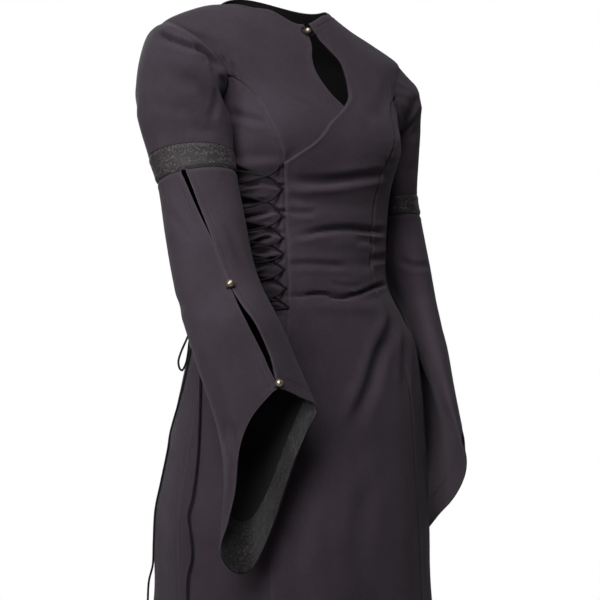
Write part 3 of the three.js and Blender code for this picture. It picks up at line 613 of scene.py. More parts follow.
def mesh_object(name, points, faces, uvs=None, sharp=50, **attributes):
    """A smooth mesh from points in millimetres; uvs are in metres, one for each point."""
    mesh = bpy.data.meshes.new(name)
    mesh.from_pydata((np.asarray(points) * MM).tolist(), [], faces)
    if uvs is not None:
        layer = mesh.uv_layers.new(name="UVMap")
        corners = np.empty(len(mesh.loops), int)
        mesh.loops.foreach_get("vertex_index", corners)
        layer.data.foreach_set("uv", np.asarray(uvs, float)[corners].ravel())
    for key, values in attributes.items():
        attribute = mesh.attributes.new(key, "FLOAT", "POINT")
        attribute.data.foreach_set("value", np.asarray(values, float).ravel())
    mesh.shade_smooth()
    mesh.set_sharp_from_angle(angle=math.radians(sharp))
    return show(name, mesh)


def grid_quads(rows, columns, closed=True):
    """Quads of a grid of points, joined round when it is closed."""
    across = columns if closed else columns - 1
    i, j = np.meshgrid(np.arange(rows - 1), np.arange(across), indexing="ij")
    a, b = i * columns + j, i * columns + (j + 1) % columns
    return np.stack([a, b, b + columns, a + columns], -1).reshape(-1, 4)


def tube_faces(rows, columns):
    """Faces of a tube, ring after ring, and its two ends."""
    ends = [list(range(columns))[::-1], list(range((rows - 1) * columns, rows * columns))]
    return grid_quads(rows, columns).tolist() + ends


def wall_quads(rows, columns, closed):
    """Quads of a wall on a grid: outer, inner and the rims between them."""
    outer = grid_quads(rows, columns, closed)
    half = rows * columns
    steps = np.arange(columns if closed else columns - 1)
    after = (steps + 1) % columns
    top = (rows - 1) * columns
    rims = [
        np.stack([steps, steps + half, after + half, after], -1),
        np.stack([top + steps, top + after, half + top + after, half + top + steps], -1),
    ]
    if not closed:
        start = np.arange(rows - 1) * columns
        end = start + columns - 1
        rims.append(np.stack([start, start + columns, half + start + columns, half + start], -1))
        rims.append(np.stack([end, half + end, half + end + columns, end + columns], -1))
    return np.concatenate([outer, outer[:, ::-1] + half, *rims])


def signed_volume(points, quads):
    a, b, c, d = (points[quads[:, k]] for k in range(4))
    return (np.einsum("ij,ij->i", a, np.cross(b, c)) + np.einsum("ij,ij->i", a, np.cross(c, d))).sum()


def distances(grid, axis):
    """Arc length along an axis of a grid, or along a path, from its first point."""
    steps = np.linalg.norm(np.diff(grid, axis=axis), axis=-1)
    zero = np.zeros_like(steps[:1]) if axis == 0 else np.zeros_like(steps[:, :1])
    return np.concatenate([zero, np.cumsum(steps, axis=axis)], axis=axis)


# How an edge is finished: a seam rolls in, a hem is folded to its stitch line
SEAM = {"depth": 1.5, "breadth": 2.3, "ridge": 0.35}
HEM_FOLD = {"lift": 0.45, "width": 8.5, "groove": 0.55, "groove_breadth": 1.1, "round": 0.5}


def seam_offset(distance):
    return (-SEAM["depth"] * bell(distance / SEAM["breadth"])
            + SEAM["ridge"] * bell((distance - 2.6 * SEAM["breadth"]) / SEAM["breadth"]))


def hem_offset(distance):
    fold = HEM_FOLD
    return (fold["lift"] * ease(fold["width"] + 0.6, fold["width"] - 0.8, distance)
            - fold["groove"] * bell((distance - fold["width"]) / fold["groove_breadth"])
            - fold["round"] * bell(distance / 0.9))


EDGE_OFFSETS = {"seam": seam_offset, "hem": hem_offset}


def edge_distances(flat_grid):
    """The distance of each point of a grid from each of its four edges."""
    along, down = distances(flat_grid, 1), distances(flat_grid, 0)
    return {"first": along, "last": along[:, -1:] - along, "start": down, "end": down[-1:] - down}


# Paler cloth where it is worn: on a hem's fold, and beside a seam
WEAR = {"hem": (0.55, 0, 1.6), "seam": (0.16, 2.4, 1.6)}


def wall(name, place, normal, offset, edges, node, held, rests_on, closed=False, thickness=CLOTH,
         finish="cotton", slot="cotton", seam_share=1.0):
    """A closed wall on a grid of points, moved by an offset, with its edges finished."""
    far = edge_distances(place)
    worn = np.zeros(place.shape[:2])
    for edge, kind in edges.items():
        offset = offset + EDGE_OFFSETS[kind](far[edge]) * (seam_share if kind == "seam" else 1.0)
        amount, middle, breadth = WEAR[kind]
        worn = np.maximum(worn, amount * bell((far[edge] - middle) / breadth))
    outer = place + normal * offset[..., None]
    inner = outer - normal * thickness
    quads = wall_quads(*place.shape[:2], closed)
    points = np.concatenate([outer.reshape(-1, 3), inner.reshape(-1, 3)])
    if signed_volume(points, quads) < 0:
        quads = quads[:, ::-1]
    along = far["first"] - (0 if closed else far["first"][:, -1:] / 2)
    uv = np.stack([along, far["start"]], -1).reshape(-1, 2) * MM
    none = np.zeros(worn.size)
    # The inner side is marked 'inside', which the cotton paints near black as painted shade
    obj = mesh_object(name, points, quads.tolist(), np.concatenate([uv, uv]),
                      wear=np.concatenate([worn.ravel(), none]),
                      inside=np.concatenate([none, none + 1]))
    finish_piece(obj, finish, [node])


# Creases: each is a trough along a line of places with a depth and a breadth

def smooth_line(places):
    """A line through places, with six steps from each to the next."""
    places = np.asarray(places, float)
    count = np.arange(len(places))
    fine = np.linspace(0, len(places) - 1, (len(places) - 1) * 6 + 1)
    return np.stack([curve(count, places[:, k])(fine) for k in (0, 1)], -1)


def crease(u, v, line, depth, breadth, ridge):
    """A soft trough along a line, with a ridge on each side, fading at both ends."""
    best = np.full(u.shape, 1e9)
    along = np.zeros(u.shape)
    side = np.zeros(u.shape)
    steps = np.diff(line, axis=0)
    lengths = np.hypot(steps[:, 0], steps[:, 1])
    starts = np.concatenate([[0], np.cumsum(lengths)])
    for (a0, a1), (d0, d1), length, start in zip(line[:-1], steps, lengths, starts[:-1]):
        share = np.clip(((u - a0) * d0 + (v - a1) * d1) / (length * length + 1e-9), 0, 1)
        du, dv = u - a0 - share * d0, v - a1 - share * d1
        distance = np.hypot(du, dv)
        nearer = distance < best
        best = np.where(nearer, distance, best)
        along = np.where(nearer, (start + share * length) / starts[-1], along)
        side = np.where(nearer, np.sign(d0 * dv - d1 * du), side)
    fade, end = CREASE["fade"], CREASE["end"]
    taper = ease(0, fade, along) * ease(1, 1 - fade, along) * (1 - end) + end
    across = best / breadth
    lower, upper = ridge
    rise = np.where(side > 0, upper, lower) * bell((across - CREASE["ridge"]) / CREASE["ridge_breadth"])
    return depth * taper * (rise - bell(across))


def crease_field(u, v, rows, scale):
    """The sum of the creases whose lines lie near the grid."""
    out = np.zeros(u.shape)
    for depth, breadth, ridge, *places in rows:
        line = smooth_line(np.reshape(places, (-1, 2))) * scale
        low, high = line.min(0) - 4 * breadth, line.max(0) + 4 * breadth
        near = (u > low[0]) & (u < high[0]) & (v > low[1]) & (v < high[1])
        if near.any():
            out[near] += crease(u[near], v[near], line, depth, breadth, ridge)
    return out


# The body's mean radius, which turns degrees round it into millimetres
BODY_RADIUS = 142
# How much deeper than its row each crease is, by where it lies
GATHER_SHARE, FRONT_SHARE, BACK_SHARE = 2.0, 1.35, 1.8
# Heights of the ridges below and above a crease, as shares of its depth
SOFT, EVEN = (0.5, 0.2), (0.35, 0.35)
# How a crease fades towards its ends, and where its ridges stand, as shares of its breadth
CREASE = {"fade": 0.22, "end": 0.1, "ridge": 1.75, "ridge_breadth": 0.85}

# Depth and breadth in millimetres, ridges, then the angle and level of each place along the crease
BODY_CREASES = [
    # Under the bust
    (4.6, 6.5, SOFT, -30, -241, -22, -240, -8, -238, 6, -232, 20, -225, 37, -217),
    (0.8, 5, EVEN, -28, -261, -20, -264, -12, -267),
    (1.8, 4.5, EVEN, -29, -280, -20, -281, -11, -280),
    (3.4, 4.6, SOFT, -29, -315, -19, -311, -6, -304, 10, -300, 30, -300, 52, -296),
    (2.4, 5, EVEN, -31, -354, -20, -351, -8, -351, 11, -352),
    (2.2, 5, EVEN, 26, -340, 40, -337, 54, -332),
    (4.0, 3.1, (0.25, 0.15), -33, -396, -22, -394, -10, -391, 0, -396, 14, -390, 34, -377, 52, -372),
    (1.2, 4, EVEN, -6, -376, 8, -380, 20, -377),
    (1.5, 5, EVEN, 12, -318, 24, -315, 36, -320),
    # The bust's side and the pull from the shoulder
    (2.2, 6, EVEN, -56, -148, -54, -150, -46, -156, -40, -160, -35, -163),
    (1.5, 7, EVEN, -40, -70, -34, -98, -22, -128, -10, -140),
    (1.0, 9, EVEN, 44, -80, 36, -108, 28, -132, 14, -146),
    (1.1, 6, EVEN, 48, -200, 38, -206, 26, -201),
    (0.8, 7, EVEN, 52, -168, 44, -176, 38, -190),
    # Puckers at the armhole
    (4.0, 3.2, EVEN, -51, -90, -53, -104, -58, -120),
    (3.2, 3.0, EVEN, -48, -87, -50, -102, -54, -117),
    (2.2, 3.0, EVEN, -44, -90, -45, -104, -46, -119),
    (1.4, 3.4, EVEN, 52, -96, 54, -110, 57, -124),
    (1.0, 3.4, EVEN, 46, -92, 48, -106, 51, -119),
    (1.6, 4, EVEN, -130, -92, -124, -108, -119, -128),
    (1.4, 4, EVEN, 129, -90, 124, -106, 118, -126),
    (1.2, 4, EVEN, -136, -80, -134, -100, -128, -118),
    # The hip, falling to the front
    (4.6, 9, (0.6, 0.25), 38, -412, 33, -428, 24, -450, 16, -472, 9, -516, 3, -548, -2, -580),
    (1.8, 8, EVEN, 40, -440, 35, -480, 30, -530),
    (1.9, 8, EVEN, -26, -424, -20, -462, -16, -500),
    (0.9, 9, EVEN, 56, -430, 50, -478, 46, -530),
    (1.0, 8, EVEN, -58, -446, -54, -484, -52, -530),
    # The back: under the shoulder blades, the waist and the seat
    (1.8, 6, SOFT, 100, -238, 118, -246, 138, -240, 156, -232),
    (1.5, 6, SOFT, 204, -236, 224, -244, 244, -250, 260, -243),
    (2.2, 5, SOFT, 96, -304, 120, -300, 146, -309, 172, -303, 196, -306),
    (1.8, 5, SOFT, 212, -312, 234, -303, 256, -297, 268, -300),
    (2.4, 5, SOFT, 110, -352, 136, -360, 162, -355, 188, -361),
    (2.0, 5, SOFT, 200, -350, 222, -357, 246, -349, 262, -352),
    (2.6, 5, SOFT, 94, -388, 120, -397, 148, -391, 176, -398, 204, -392, 232, -397, 258, -390),
    (1.2, 8, EVEN, 150, -160, 158, -190, 160, -222),
    (1.2, 8, EVEN, 208, -156, 202, -188, 201, -220),
    (1.4, 9, EVEN, 150, -424, 160, -460, 166, -505),
    (1.2, 9, EVEN, 214, -428, 206, -470, 202, -520),
    (1.0, 8, EVEN, 116, -420, 122, -458, 124, -500),
    (1.2, 7, EVEN, 166, -52, 180, -58, 195, -53),
    # Small breaks of the skirt
    (1.8, 12, EVEN, 8, -640, 2, -700, -1, -780),
    (1.6, 12, EVEN, -24, -660, -27, -780, -26, -860),
    (1.0, 12, EVEN, 54, -640, 56, -720, 55, -820),
    (1.0, 12, EVEN, 150, -680, 154, -770, 152, -880),
    (1.0, 12, EVEN, 212, -660, 208, -760, 210, -860),
]

# The cloth drawn together under the lacing, in uneven folds
GATHER_CREASES = [
    (2.6, 3.4, EVEN, -84, -210, -70, -214, -58, -219, -53, -225, -45, -231),
    (2.8, 3.2, EVEN, -66, -238, -59, -242, -50, -243, -40, -240),
    (1.8, 2.6, EVEN, -60, -250, -49, -246, -41, -244),
    (1.8, 3, EVEN, -40, -242, -34, -245, -29, -247),
    (3.0, 3.4, EVEN, -80, -258, -66, -262, -56, -265, -47, -267, -37, -266),
    (3.0, 3.4, EVEN, -62, -293, -53, -289, -43, -284, -35, -278),
    (1.8, 2.8, EVEN, -36, -279, -28, -280),
    (3.0, 3.4, EVEN, -72, -300, -60, -305, -52, -304, -44, -302, -35, -309, -28, -310),
    (2.6, 3, EVEN, -60, -330, -50, -326, -44, -320, -35, -314),
    (2.6, 3, EVEN, -66, -338, -50, -333, -44, -335, -37, -334),
    (3.0, 3.2, EVEN, -64, -360, -50, -357, -42, -350, -36, -345, -29, -345),
    (2.6, 3, EVEN, -60, -380, -47, -375, -40, -374, -33, -381),
    (2.4, 3.2, EVEN, -56, -400, -44, -404, -39, -410, -33, -413),
    (1.2, 3.4, EVEN, -86, -232, -78, -236, -70, -233),
    (1.2, 3.4, EVEN, -86, -276, -76, -281, -64, -278),
    (1.2, 3.4, EVEN, -86, -322, -76, -318, -68, -322),
    (1.2, 3.4, EVEN, -86, -348, -74, -351, -66, -346),
    (1.2, 3.4, EVEN, -86, -372, -76, -369, -66, -372),
    (1.2, 3.4, EVEN, -86, -396, -74, -392, -64, -390),
]


def unevenness(points, share=1.0):
    """Slow swells and small waves of worn cloth, from the place alone."""
    x, y, z = (points[..., k] for k in range(3))
    slow = np.sin(x / 31 + 0.9 * np.sin(z / 57)) * np.sin(y / 27 + z / 83 + 1.3)
    middle = np.sin(x / 11.3 + z / 17.9 + 0.7) * np.sin(y / 9.7 - z / 23.1 + 2.1)
    small = np.sin(x / 4.1 - z / 5.3) * np.sin(y / 4.7 + z / 6.1 + 0.4)
    return share * (0.55 * slow + 0.22 * middle + 0.07 * small)


def scaled(share, rows):
    return [(share * depth, *rest) for depth, *rest in rows]


def creases_within(low, high):
    """The body's creases whose angles all lie between two."""
    return [row for row in BODY_CREASES if all(low < angle < high for angle in row[3::2])]


FRONT_ROWS = (scaled(FRONT_SHARE, creases_within(-90, 90)) + creases_within(-180, -90)
              + scaled(GATHER_SHARE, GATHER_CREASES))
BACK_ROWS = scaled(BACK_SHARE, creases_within(90, 360))
# Small even draws across the princess seams, between these levels
PUCKER = {"depth": 0.28, "breadth": 6.5, "top": -112, "foot": -416}


def seam_puckers(turn, level):
    wave = np.sin(level / 2.3 + 1.2 * np.sin(level / 9.1))
    top, foot = PUCKER["top"], PUCKER["foot"]
    within = ease(top, top - 10, level) * ease(foot, foot + 12, level)
    out = 0.0
    for side in (-1, 1):
        away = (turn - side * front_seam(level)) * math.radians(1) * BODY_RADIUS
        out = out + PUCKER["depth"] * wave * bell(away / PUCKER["breadth"]) * within
    return out


def body_relief(at, level):
    """The creases and puckers of the body's cloth, which fade out at the neck."""
    turn = wrapped(at)
    scale = np.array([math.radians(1) * BODY_RADIUS, 1])
    out = crease_field(np.radians(turn) * BODY_RADIUS, level, FRONT_ROWS, scale)
    behind = np.radians(np.where(turn < 0, turn + 360, turn)) * BODY_RADIUS
    out = out + np.where(np.abs(turn) > 80, crease_field(behind, level, BACK_ROWS, scale), 0)
    return (out + seam_puckers(turn, level)) * ease(NECK, NECK - 22, level)


def body_offset(at, level, place, swell=1.0):
    return body_relief(at, level) + unevenness(place, swell) * ease(NECK, NECK - 28, level)


def at_body_cloth(at, level, lift=0.1):
    """Points on the finished cloth of the body."""
    place, normal = body_point(at, level), body_normal(at, level)
    return place + normal * (body_offset(at, level, place) + lift)[..., None]


# The bust cloth runs on under the wrap as far as the wrap edge meets the side seam
BUST_CLOTH_FOOT = -222
# How far, in degrees, the body's cloth reaches under the head of each sleeve
TUCK = 1.1
# The share of a seam's roll left where it is pressed flat, and where the finer rows begin
PRESSED = 0.08
SKIRT_TOP = -440
# Half the gap between two joined pieces of a sleeve
JOIN = 0.2


def between(low, high, step):
    return np.linspace(low, high, max(2, int(round((high - low) / step)) + 1))


def body_levels(low, high, torso_step=3.0):
    """Levels for the rows of a panel, close together at the bodice and round the armhole."""
    scye = ARMHOLE["level"] + ARMHOLE["half"] * np.cos(np.radians(np.arange(0, 181, 4)))
    rows = np.concatenate([between(HEM, SKIRT_TOP, 7.5), between(SKIRT_TOP, UNDERARM, torso_step),
                           scye, between(SHOULDER, NECK, 2.2), [WRAP_FOOT, BUST_PANEL_FOOT]])
    rows = np.unique(np.round(np.concatenate([rows[(rows > low) & (rows < high)], [low, high]]), 3))
    keep = np.concatenate([[True], np.diff(rows) > 0.02])
    return rows[keep]


def share_columns(count):
    """Columns across a panel, closer together near its two edges."""
    even = np.linspace(0, 1, count + 1)
    return mix(even, 0.5 - 0.5 * np.cos(np.pi * even), 0.6)


def panel(name, node, levels, first, last, columns, edges, held, rests_on, sink=None, swell=1.0):
    """A body panel between two edges; sink lays it under another."""
    start, end = first(levels)[:, None], last(levels)[:, None]
    at = start + (end - start) * share_columns(columns)[None]
    level = np.repeat(levels[:, None], columns + 1, 1)
    place, normal = body_point(at, level), body_normal(at, level)
    offset = body_offset(at, level, place, swell)
    if sink is not None:
        offset = offset - sink(at, level)
    pressed = mix(1.0, PRESSED, ease(SIDE_PANEL_TOP - 2, SIDE_PANEL_TOP + 18, level))
    wall(name, place, normal, offset, edges, node, held, rests_on, seam_share=pressed)


def tucked(level):
    return TUCK * ease(UNDERARM, UNDERARM + 8, level) * ease(SHOULDER, SHOULDER - 8, level)


def make_body():
    front_first = lambda level: np.where(level > WRAP_FOOT, wrap_edge(level), -front_seam(level))
    front_arm = lambda level: arm_side(level) + tucked(level) * (level > ARMHOLE["level"])
    back_arm = lambda level: back_side(level) - tucked(level)
    seams, hems = {"first": "seam", "last": "seam"}, {"end": "hem", "start": "hem"}
    panel("front_cloth", "front_panel", body_levels(HEM, NECK), front_first, front_arm, 84,
          {**seams, **hems}, "hung", ["right_bust_panel", "left_side_panel"])
    panel("bust_cloth", "right_bust_panel", body_levels(BUST_CLOTH_FOOT, NECK, 2.0),
          lambda level: -front_arm(level), bust_edge, 96, {"first": "seam", "last": "hem", "end": "hem"},
          "stretched", ["front_panel", "right_side_panel"], sink=lap_sink)
    panel("right_side_cloth", "right_side_panel", body_levels(HEM, SIDE_PANEL_TOP, 1.7),
          lambda level: -side_panel_back(level), lambda level: -front_seam(level), 62,
          {**seams, "start": "hem"}, "gathered", ["front_panel", "back_panel"], swell=1.3)
    panel("left_side_cloth", "left_side_panel", body_levels(HEM, SIDE_PANEL_TOP), front_seam,
          side_panel_back, 46, {**seams, "start": "hem"}, "hung", ["front_panel", "back_panel"])
    panel("back_cloth", "back_panel", body_levels(HEM, NECK), back_arm,
          lambda level: 360 - back_arm(level), 124, {**seams, **hems}, "hung",
          ["front_panel", "left_side_panel"])


# Creases of the sleeves: depth, breadth, ridges, then the angle and reach of each place
RIGHT_SLEEVE_CREASES = [
    (7.5, 3.0, (0.3, 0.1), 14, 25, 26, 26, 36, 28, 53, 28, 66, 25, 78, 18),
    (8.5, 4.4, EVEN, 70, 22, 79, 15, 86, 12, 94, 14, 104, 19),
    (1.6, 6, EVEN, 30, 46, 52, 54, 80, 50),
    (1.6, 5, EVEN, 112, 34, 104, 62, 96, 92),
    (1.2, 7, EVEN, 10, 74, 40, 84, 66, 80),
    (1.2, 7, EVEN, 62, 100, 84, 108, 104, 100),
    (1.8, 6, EVEN, 200, 40, 230, 56, 262, 60),
    (1.8, 6, EVEN, 214, 84, 246, 92, 280, 84),
    (1.2, 6, EVEN, 300, 50, 324, 66, 350, 62),
    (1.5, 7, EVEN, 350, 200, 368, 222, 384, 252),
    (1.6, 7, EVEN, 250, 210, 276, 222, 304, 218),
    (1.6, 7, EVEN, 240, 252, 266, 262, 296, 256),
    (1.3, 8, EVEN, 300, 300, 330, 318, 356, 330),
    (1.4, 8, EVEN, 96, 226, 108, 268, 112, 312),
    (3.6, 6, EVEN, 340, 442, 350, 452, 359, 464, 366, 482, 372, 498),
    (1.4, 10, EVEN, 20, 372, 30, 410, 38, 448),
    (1.3, 8, EVEN, 196, 300, 204, 344, 206, 392),
    (1.2, 8, EVEN, 262, 380, 272, 420, 276, 462),
]
LEFT_SLEEVE_CREASES = [
    (4.0, 4.5, EVEN, 66, 18, 80, 16, 104, 14, 128, 10),
    (1.8, 5, EVEN, 28, 20, 46, 28, 64, 26),
    (1.4, 6, EVEN, 60, 50, 82, 60, 104, 58),
    (1.4, 6, EVEN, 70, 92, 94, 98, 112, 90),
    (1.6, 6, EVEN, 216, 44, 246, 60, 276, 54),
    (1.6, 6, EVEN, 220, 88, 252, 96, 284, 88),
    (1.2, 6, EVEN, 320, 46, 344, 60, 366, 52),
    (3.0, 6, EVEN, 76, 243, 83, 242, 107, 242, 119, 234, 128, 226),
    (2.6, 7, EVEN, 238, 206, 266, 218, 292, 210),
    (1.6, 7, EVEN, 236, 250, 262, 260, 290, 252),
    (1.2, 8, EVEN, 20, 220, 26, 262, 24, 310),
    (1.2, 8, EVEN, 64, 290, 72, 340, 88, 392),
    (1.3, 9, EVEN, 300, 330, 318, 372, 330, 420),
    (1.3, 8, EVEN, 250, 360, 258, 404, 262, 450),
]
SLEEVE_CREASES = {-1: RIGHT_SLEEVE_CREASES, 1: LEFT_SLEEVE_CREASES}


# Small draws of a sleeve's cloth where it is set into the armhole
SLEEVE_DRAWS = {"depth": 0.35, "count": 19, "reach": 4, "breadth": 9}


def sleeve_relief(side, phi, reach):
    scale = np.array([math.radians(1) * SLEEVE_RADIUS, 1])
    out = np.zeros(phi.shape)
    for lap in (-360, 0, 360):
        u = np.radians(phi + lap) * SLEEVE_RADIUS
        out = out + crease_field(u, reach, SLEEVE_CREASES[side], scale)
    draws, around = SLEEVE_DRAWS, np.radians(phi)
    wave = draws["depth"] * np.sin(around * draws["count"] + 1.1 * np.sin(around * 5))
    return out + wave * bell((reach - draws["reach"]) / draws["breadth"])


def sleeve_offset(side, phi, reach, place):
    return sleeve_relief(side, phi, reach) + unevenness(place, 0.8)


def at_sleeve_cloth(side, phi, reach, lift=0.1):
    """Points on the finished cloth of a sleeve."""
    place, normal = sleeve_point(side, phi, reach), sleeve_normal(side, phi, reach)
    return place + normal * (sleeve_offset(side, phi, reach, place) + lift)[..., None]


def sleeve_wall(name, node, side, grid, edges, held, rests_on, lift=0.0, relief=1.0, **how):
    place, normal = sleeve_point(side, *grid), sleeve_normal(side, *grid)
    phi, reach = grid
    offset = lift + relief * sleeve_offset(side, phi, reach, place)
    pressed = mix(1.0, PRESSED, ease(-0.05, 0.45, np.cos(np.radians(phi))) * ease(60, 30, reach))
    wall(name, place, normal, offset, edges, node, held, rests_on, seam_share=pressed, **how)


def tube_grid(reaches, columns):
    reach, phi = np.meshgrid(reaches, np.linspace(0, 360, columns, endpoint=False), indexing="ij")
    return phi, reach


def slit_grid(side, reaches, columns):
    start = slit_at(side, reaches) + slit_open(reaches)
    around = (360 - 2 * slit_open(reaches))[:, None] * share_columns(columns)[None]
    return start[:, None] + around, np.repeat(reaches[:, None], columns + 1, 1)


def make_sleeve(side, word):
    head, band, drop, trim = (f"{node}_{word}" for node in
                              ("upper_sleeve", "arm_band", "lower_sleeve", "cuff_trim"))
    top, foot = BAND["from"], BAND["to"]
    sleeve_wall(f"sleeve_head_{word}", head, side, tube_grid(between(0, top - JOIN, 1.6), 210),
                {"start": "seam"}, "hung", [band], closed=True)
    sleeve_wall(f"band_{word}", band, side, tube_grid(between(top + JOIN, foot - JOIN, 1.6), 170),
                {"start": "seam", "end": "seam"}, "stretched", [head], lift=BAND_LIFT, relief=0.7,
                closed=True, finish="brocade", slot="brocade")
    sleeve_wall(f"drop_sleeve_{word}", drop, side,
                slit_grid(side, between(foot + JOIN, MOUTH_REACH, 3.0), 150),
                {"start": "seam", "end": "hem", "first": "hem", "last": "hem"}, "hung", [band])
    # The mouth's trim takes the darker brocade copy: painted shade inside the sleeve
    sleeve_wall(f"mouth_trim_{word}", trim, side,
                slit_grid(side, between(MOUTH_REACH - TRIM_WIDTH, MOUTH_REACH - 0.5, 1.6), 150), {},
                "stretched", [drop], lift=-CLOTH - TRIM_GAP, thickness=TRIM_CLOTH, finish="shaded_trim",
                slot="brocade")


# Cords: the lacing, the knot and its bow and ends, and the neck loop
LACE_STEPS_PER_RUN, LACE_SIDE_LIFT = 5, 0.6
# A run's angle by its share of the way from the front to the side, and where it lies closer
LACE_RUN = curve([0, 0.25, 0.5, 0.75, 1], [-31.8, -34.2, -39, -54, -78])
LACE_SETTLE = {"from": -50, "to": -64, "share": 0.8, "sunk": 1.6}
# The knot on the side seam; angles round it are 0 to the front, 90 up
KNOT = {"at": -90, "level": -428, "radius": 4, "gap": 0.5, "stub": 8, "wind": 2.7, "cord": 1.35,
        "winds": (20, 80, 140)}
END_KNOT = {"size": 0.75, "cord": 0.95, "beyond": 1.5}
# How deep the strands of a twisted cord are cut, and the step of points along a cord
STRAND_DEPTH, CORD_STEP = 0.12, 1.1
KNOT_PLACE = body_point(KNOT["at"], KNOT["level"], KNOT["radius"] + 0.4)
LAST_RUN = [(-45, -414), (-62, -419), (-75, -423)]
# The free ends lie on the skirt: angle, level and way out from the cloth's form
BACK_TAIL = [
    (-96, -454, 5), (-98, -492, 4), (-101, -540, 4), (-105, -582, 5), (-105, -606, 4),
    (-106, -650, 4), (-109, -690, 4), (-109, -735, 4), (-110, -765, 5), (-116, -792, 8),
    (-118, -822, 8), (-114, -880, 4), (-112, -950, 4),
]
FRONT_TAIL = [
    (-86, -456, 4), (-80, -510, 4), (-76, -560, 4), (-73, -620, 4), (-72.5, -668, 5), (-74, -690, 5),
    (-72, -716, 5), (-71.5, -745, 5), (-75, -775, 5), (-75.5, -820, 5), (-74, -870, 5), (-75, -925, 5),
]
# The bow's loops: angle, level and way out, like the tails
BOW_BACK = [(-97, -440, 10), (-100, -457, 12.5), (-103, -472, 14), (-105, -484, 13.5), (-105, -493, 10),
            (-103, -496, 7), (-100, -487, 5.5), (-98.5, -472, 6.5), (-97, -452, 9)]
BOW_FRONT = [(-82, -424.5, 10.5), (-78, -446, 11), (-78, -472, 9), (-80, -484, 8), (-82, -470, 7),
             (-83, -446, 6)]
NECK_BEAD = {"at": 2.2, "level": -22}
NECK_LOOP = [(11, -26.5), (7, -27.5), (2.8, -28.5), (-1, -26), (-2, -22), (-1, -18.5), (2.2, -16.4)]


def lacing_over(at, level, lift=0.0):
    """A point of a cord drawn taut over the gathers, lying closer to them towards the side."""
    over = GATHER_DEPTH * gather_share(at) - gathers(at, level)
    settled = ease(LACE_SETTLE["from"], LACE_SETTLE["to"], at)
    out = LACE_RADIUS + LACE_CLEAR + over * (1 - LACE_SETTLE["share"] * settled)
    return body_point(at, level, out - LACE_SETTLE["sunk"] * settled + lift)


def lace_path(start):
    """A zigzag run of the lacing that starts at the front (0) or at the side (1)."""
    runs = len(LACE_LEVELS) - 1
    count = runs * LACE_STEPS_PER_RUN
    points = []
    for i in range(count + 1):
        progress = min(runs * i / count, runs - 1e-9)
        run = int(progress)
        k = progress - run
        level = mix(LACE_LEVELS[run], LACE_LEVELS[run + 1], k)
        share = k if (run + start) % 2 == 0 else 1 - k
        above = 1 if start == 0 else -1
        lift = LACE_CROSS_LIFT * max(0, above * math.cos(math.pi * (progress - 0.5)))
        lift = lift + LACE_SIDE_LIFT * bell((share - 0.72) / 0.2)
        points.append(lacing_over(LACE_RUN(share), level, lift))
    return points


def spoke(angle, distance):
    a = math.radians(angle)
    return KNOT_PLACE + np.array([0, -distance * math.cos(a), distance * math.sin(a)])


def from_knot(angle):
    return [spoke(angle, KNOT["radius"] + KNOT["gap"]), spoke(angle, KNOT["stub"])]


def to_knot(angle):
    return from_knot(angle)[::-1]


def along_skirt(rows):
    return [body_point(at, level, out) for at, level, out in rows]


def smooth_path(points, step):
    """A centripetal Catmull-Rom curve through the points, in steps of about one length."""
    p = np.array(points, float)
    p = np.vstack([2 * p[0] - p[1], p, 2 * p[-1] - p[-2]])
    out = []
    for i in range(1, len(p) - 2):
        before, a, b, after = p[i - 1:i + 3]
        d0, d1, d2 = (math.sqrt(max(np.linalg.norm(q), 1e-6)) for q in (a - before, b - a, after - b))
        m1 = ((a - before) / d0 - (b - before) / (d0 + d1) + (b - a) / d1) * d1
        m2 = ((b - a) / d1 - (after - a) / (d1 + d2) + (after - b) / d2) * d1
        count = max(2, int(round(np.linalg.norm(b - a) / step)))
        k = np.linspace(0, 1, count, endpoint=False)[:, None]
        out.append(hermite(k, 1, a, b, m1, m2))
    return np.vstack([*out, p[-2:-1]])


def frames_along(path):
    """Two directions square to the path at each point, carried along it without a twist."""
    ahead = unit(np.gradient(path, axis=0))
    start = np.cross(ahead[0], [0.0, 0.0, 1.0])
    side = start if np.linalg.norm(start) > 0.1 else np.cross(ahead[0], [1.0, 0.0, 0.0])
    sides = []
    for direction in ahead:
        side = side - direction * (side @ direction)
        side = side / np.linalg.norm(side)
        sides.append(side)
    sides = np.array(sides)
    return sides, np.cross(ahead, sides)


def rings_along(path, radii, sides):
    """Points of rings round a path, with a radius for each."""
    one, two = frames_along(path)
    turn = np.linspace(0, 2 * np.pi, sides, endpoint=False)
    ring = np.cos(turn)[None, :, None] * one[:, None] + np.sin(turn)[None, :, None] * two[:, None]
    return (path[:, None] + ring * radii[..., None]).reshape(-1, 3)


def tube_mesh(path, radius, sides=12, strands=0, pitch=7.0):
    """Points and faces of a closed tube; strands and pitch give it the form of twisted cord."""
    length = distances(path, 0)
    turn = np.linspace(0, 2 * np.pi, sides, endpoint=False)
    twist = turn[None] - 2 * np.pi * length[:, None] / pitch
    wave = 1 + STRAND_DEPTH * (np.abs(np.cos(strands / 2 * twist)) - 0.6)
    size = radius * (wave if strands else np.ones((len(path), sides)))
    taper = np.minimum(1, np.minimum(length, length[-1] - length)[:, None] / radius + 0.55)
    return rings_along(path, size * taper, sides), tube_faces(len(path), sides)


def tube_object(name, parts, nodes=(), finish="lace", sharp=70):
    """One piece made of several point and face lists."""
    faces, count = [], 0
    for points, part_faces in parts:
        faces += [[index + count for index in face] for face in part_faces]
        count += len(points)
    points = np.vstack([points for points, _ in parts])
    return finish_piece(mesh_object(name, points, faces, sharp=sharp), finish, nodes)


def overhand(centre, size, down):
    """The route of a small overhand knot, drawn tight."""
    t = np.linspace(0, 2 * np.pi, 40)
    x, y, z = np.sin(t) + 2 * np.sin(2 * t), np.cos(t) - 2 * np.cos(2 * t), -np.sin(3 * t)
    side = unit(np.cross(down, [0.3, 1.0, 0.2]))
    other = np.cross(down, side)
    return centre + size * (x[:, None] * side + y[:, None] * other + 1.4 * z[:, None] * down)


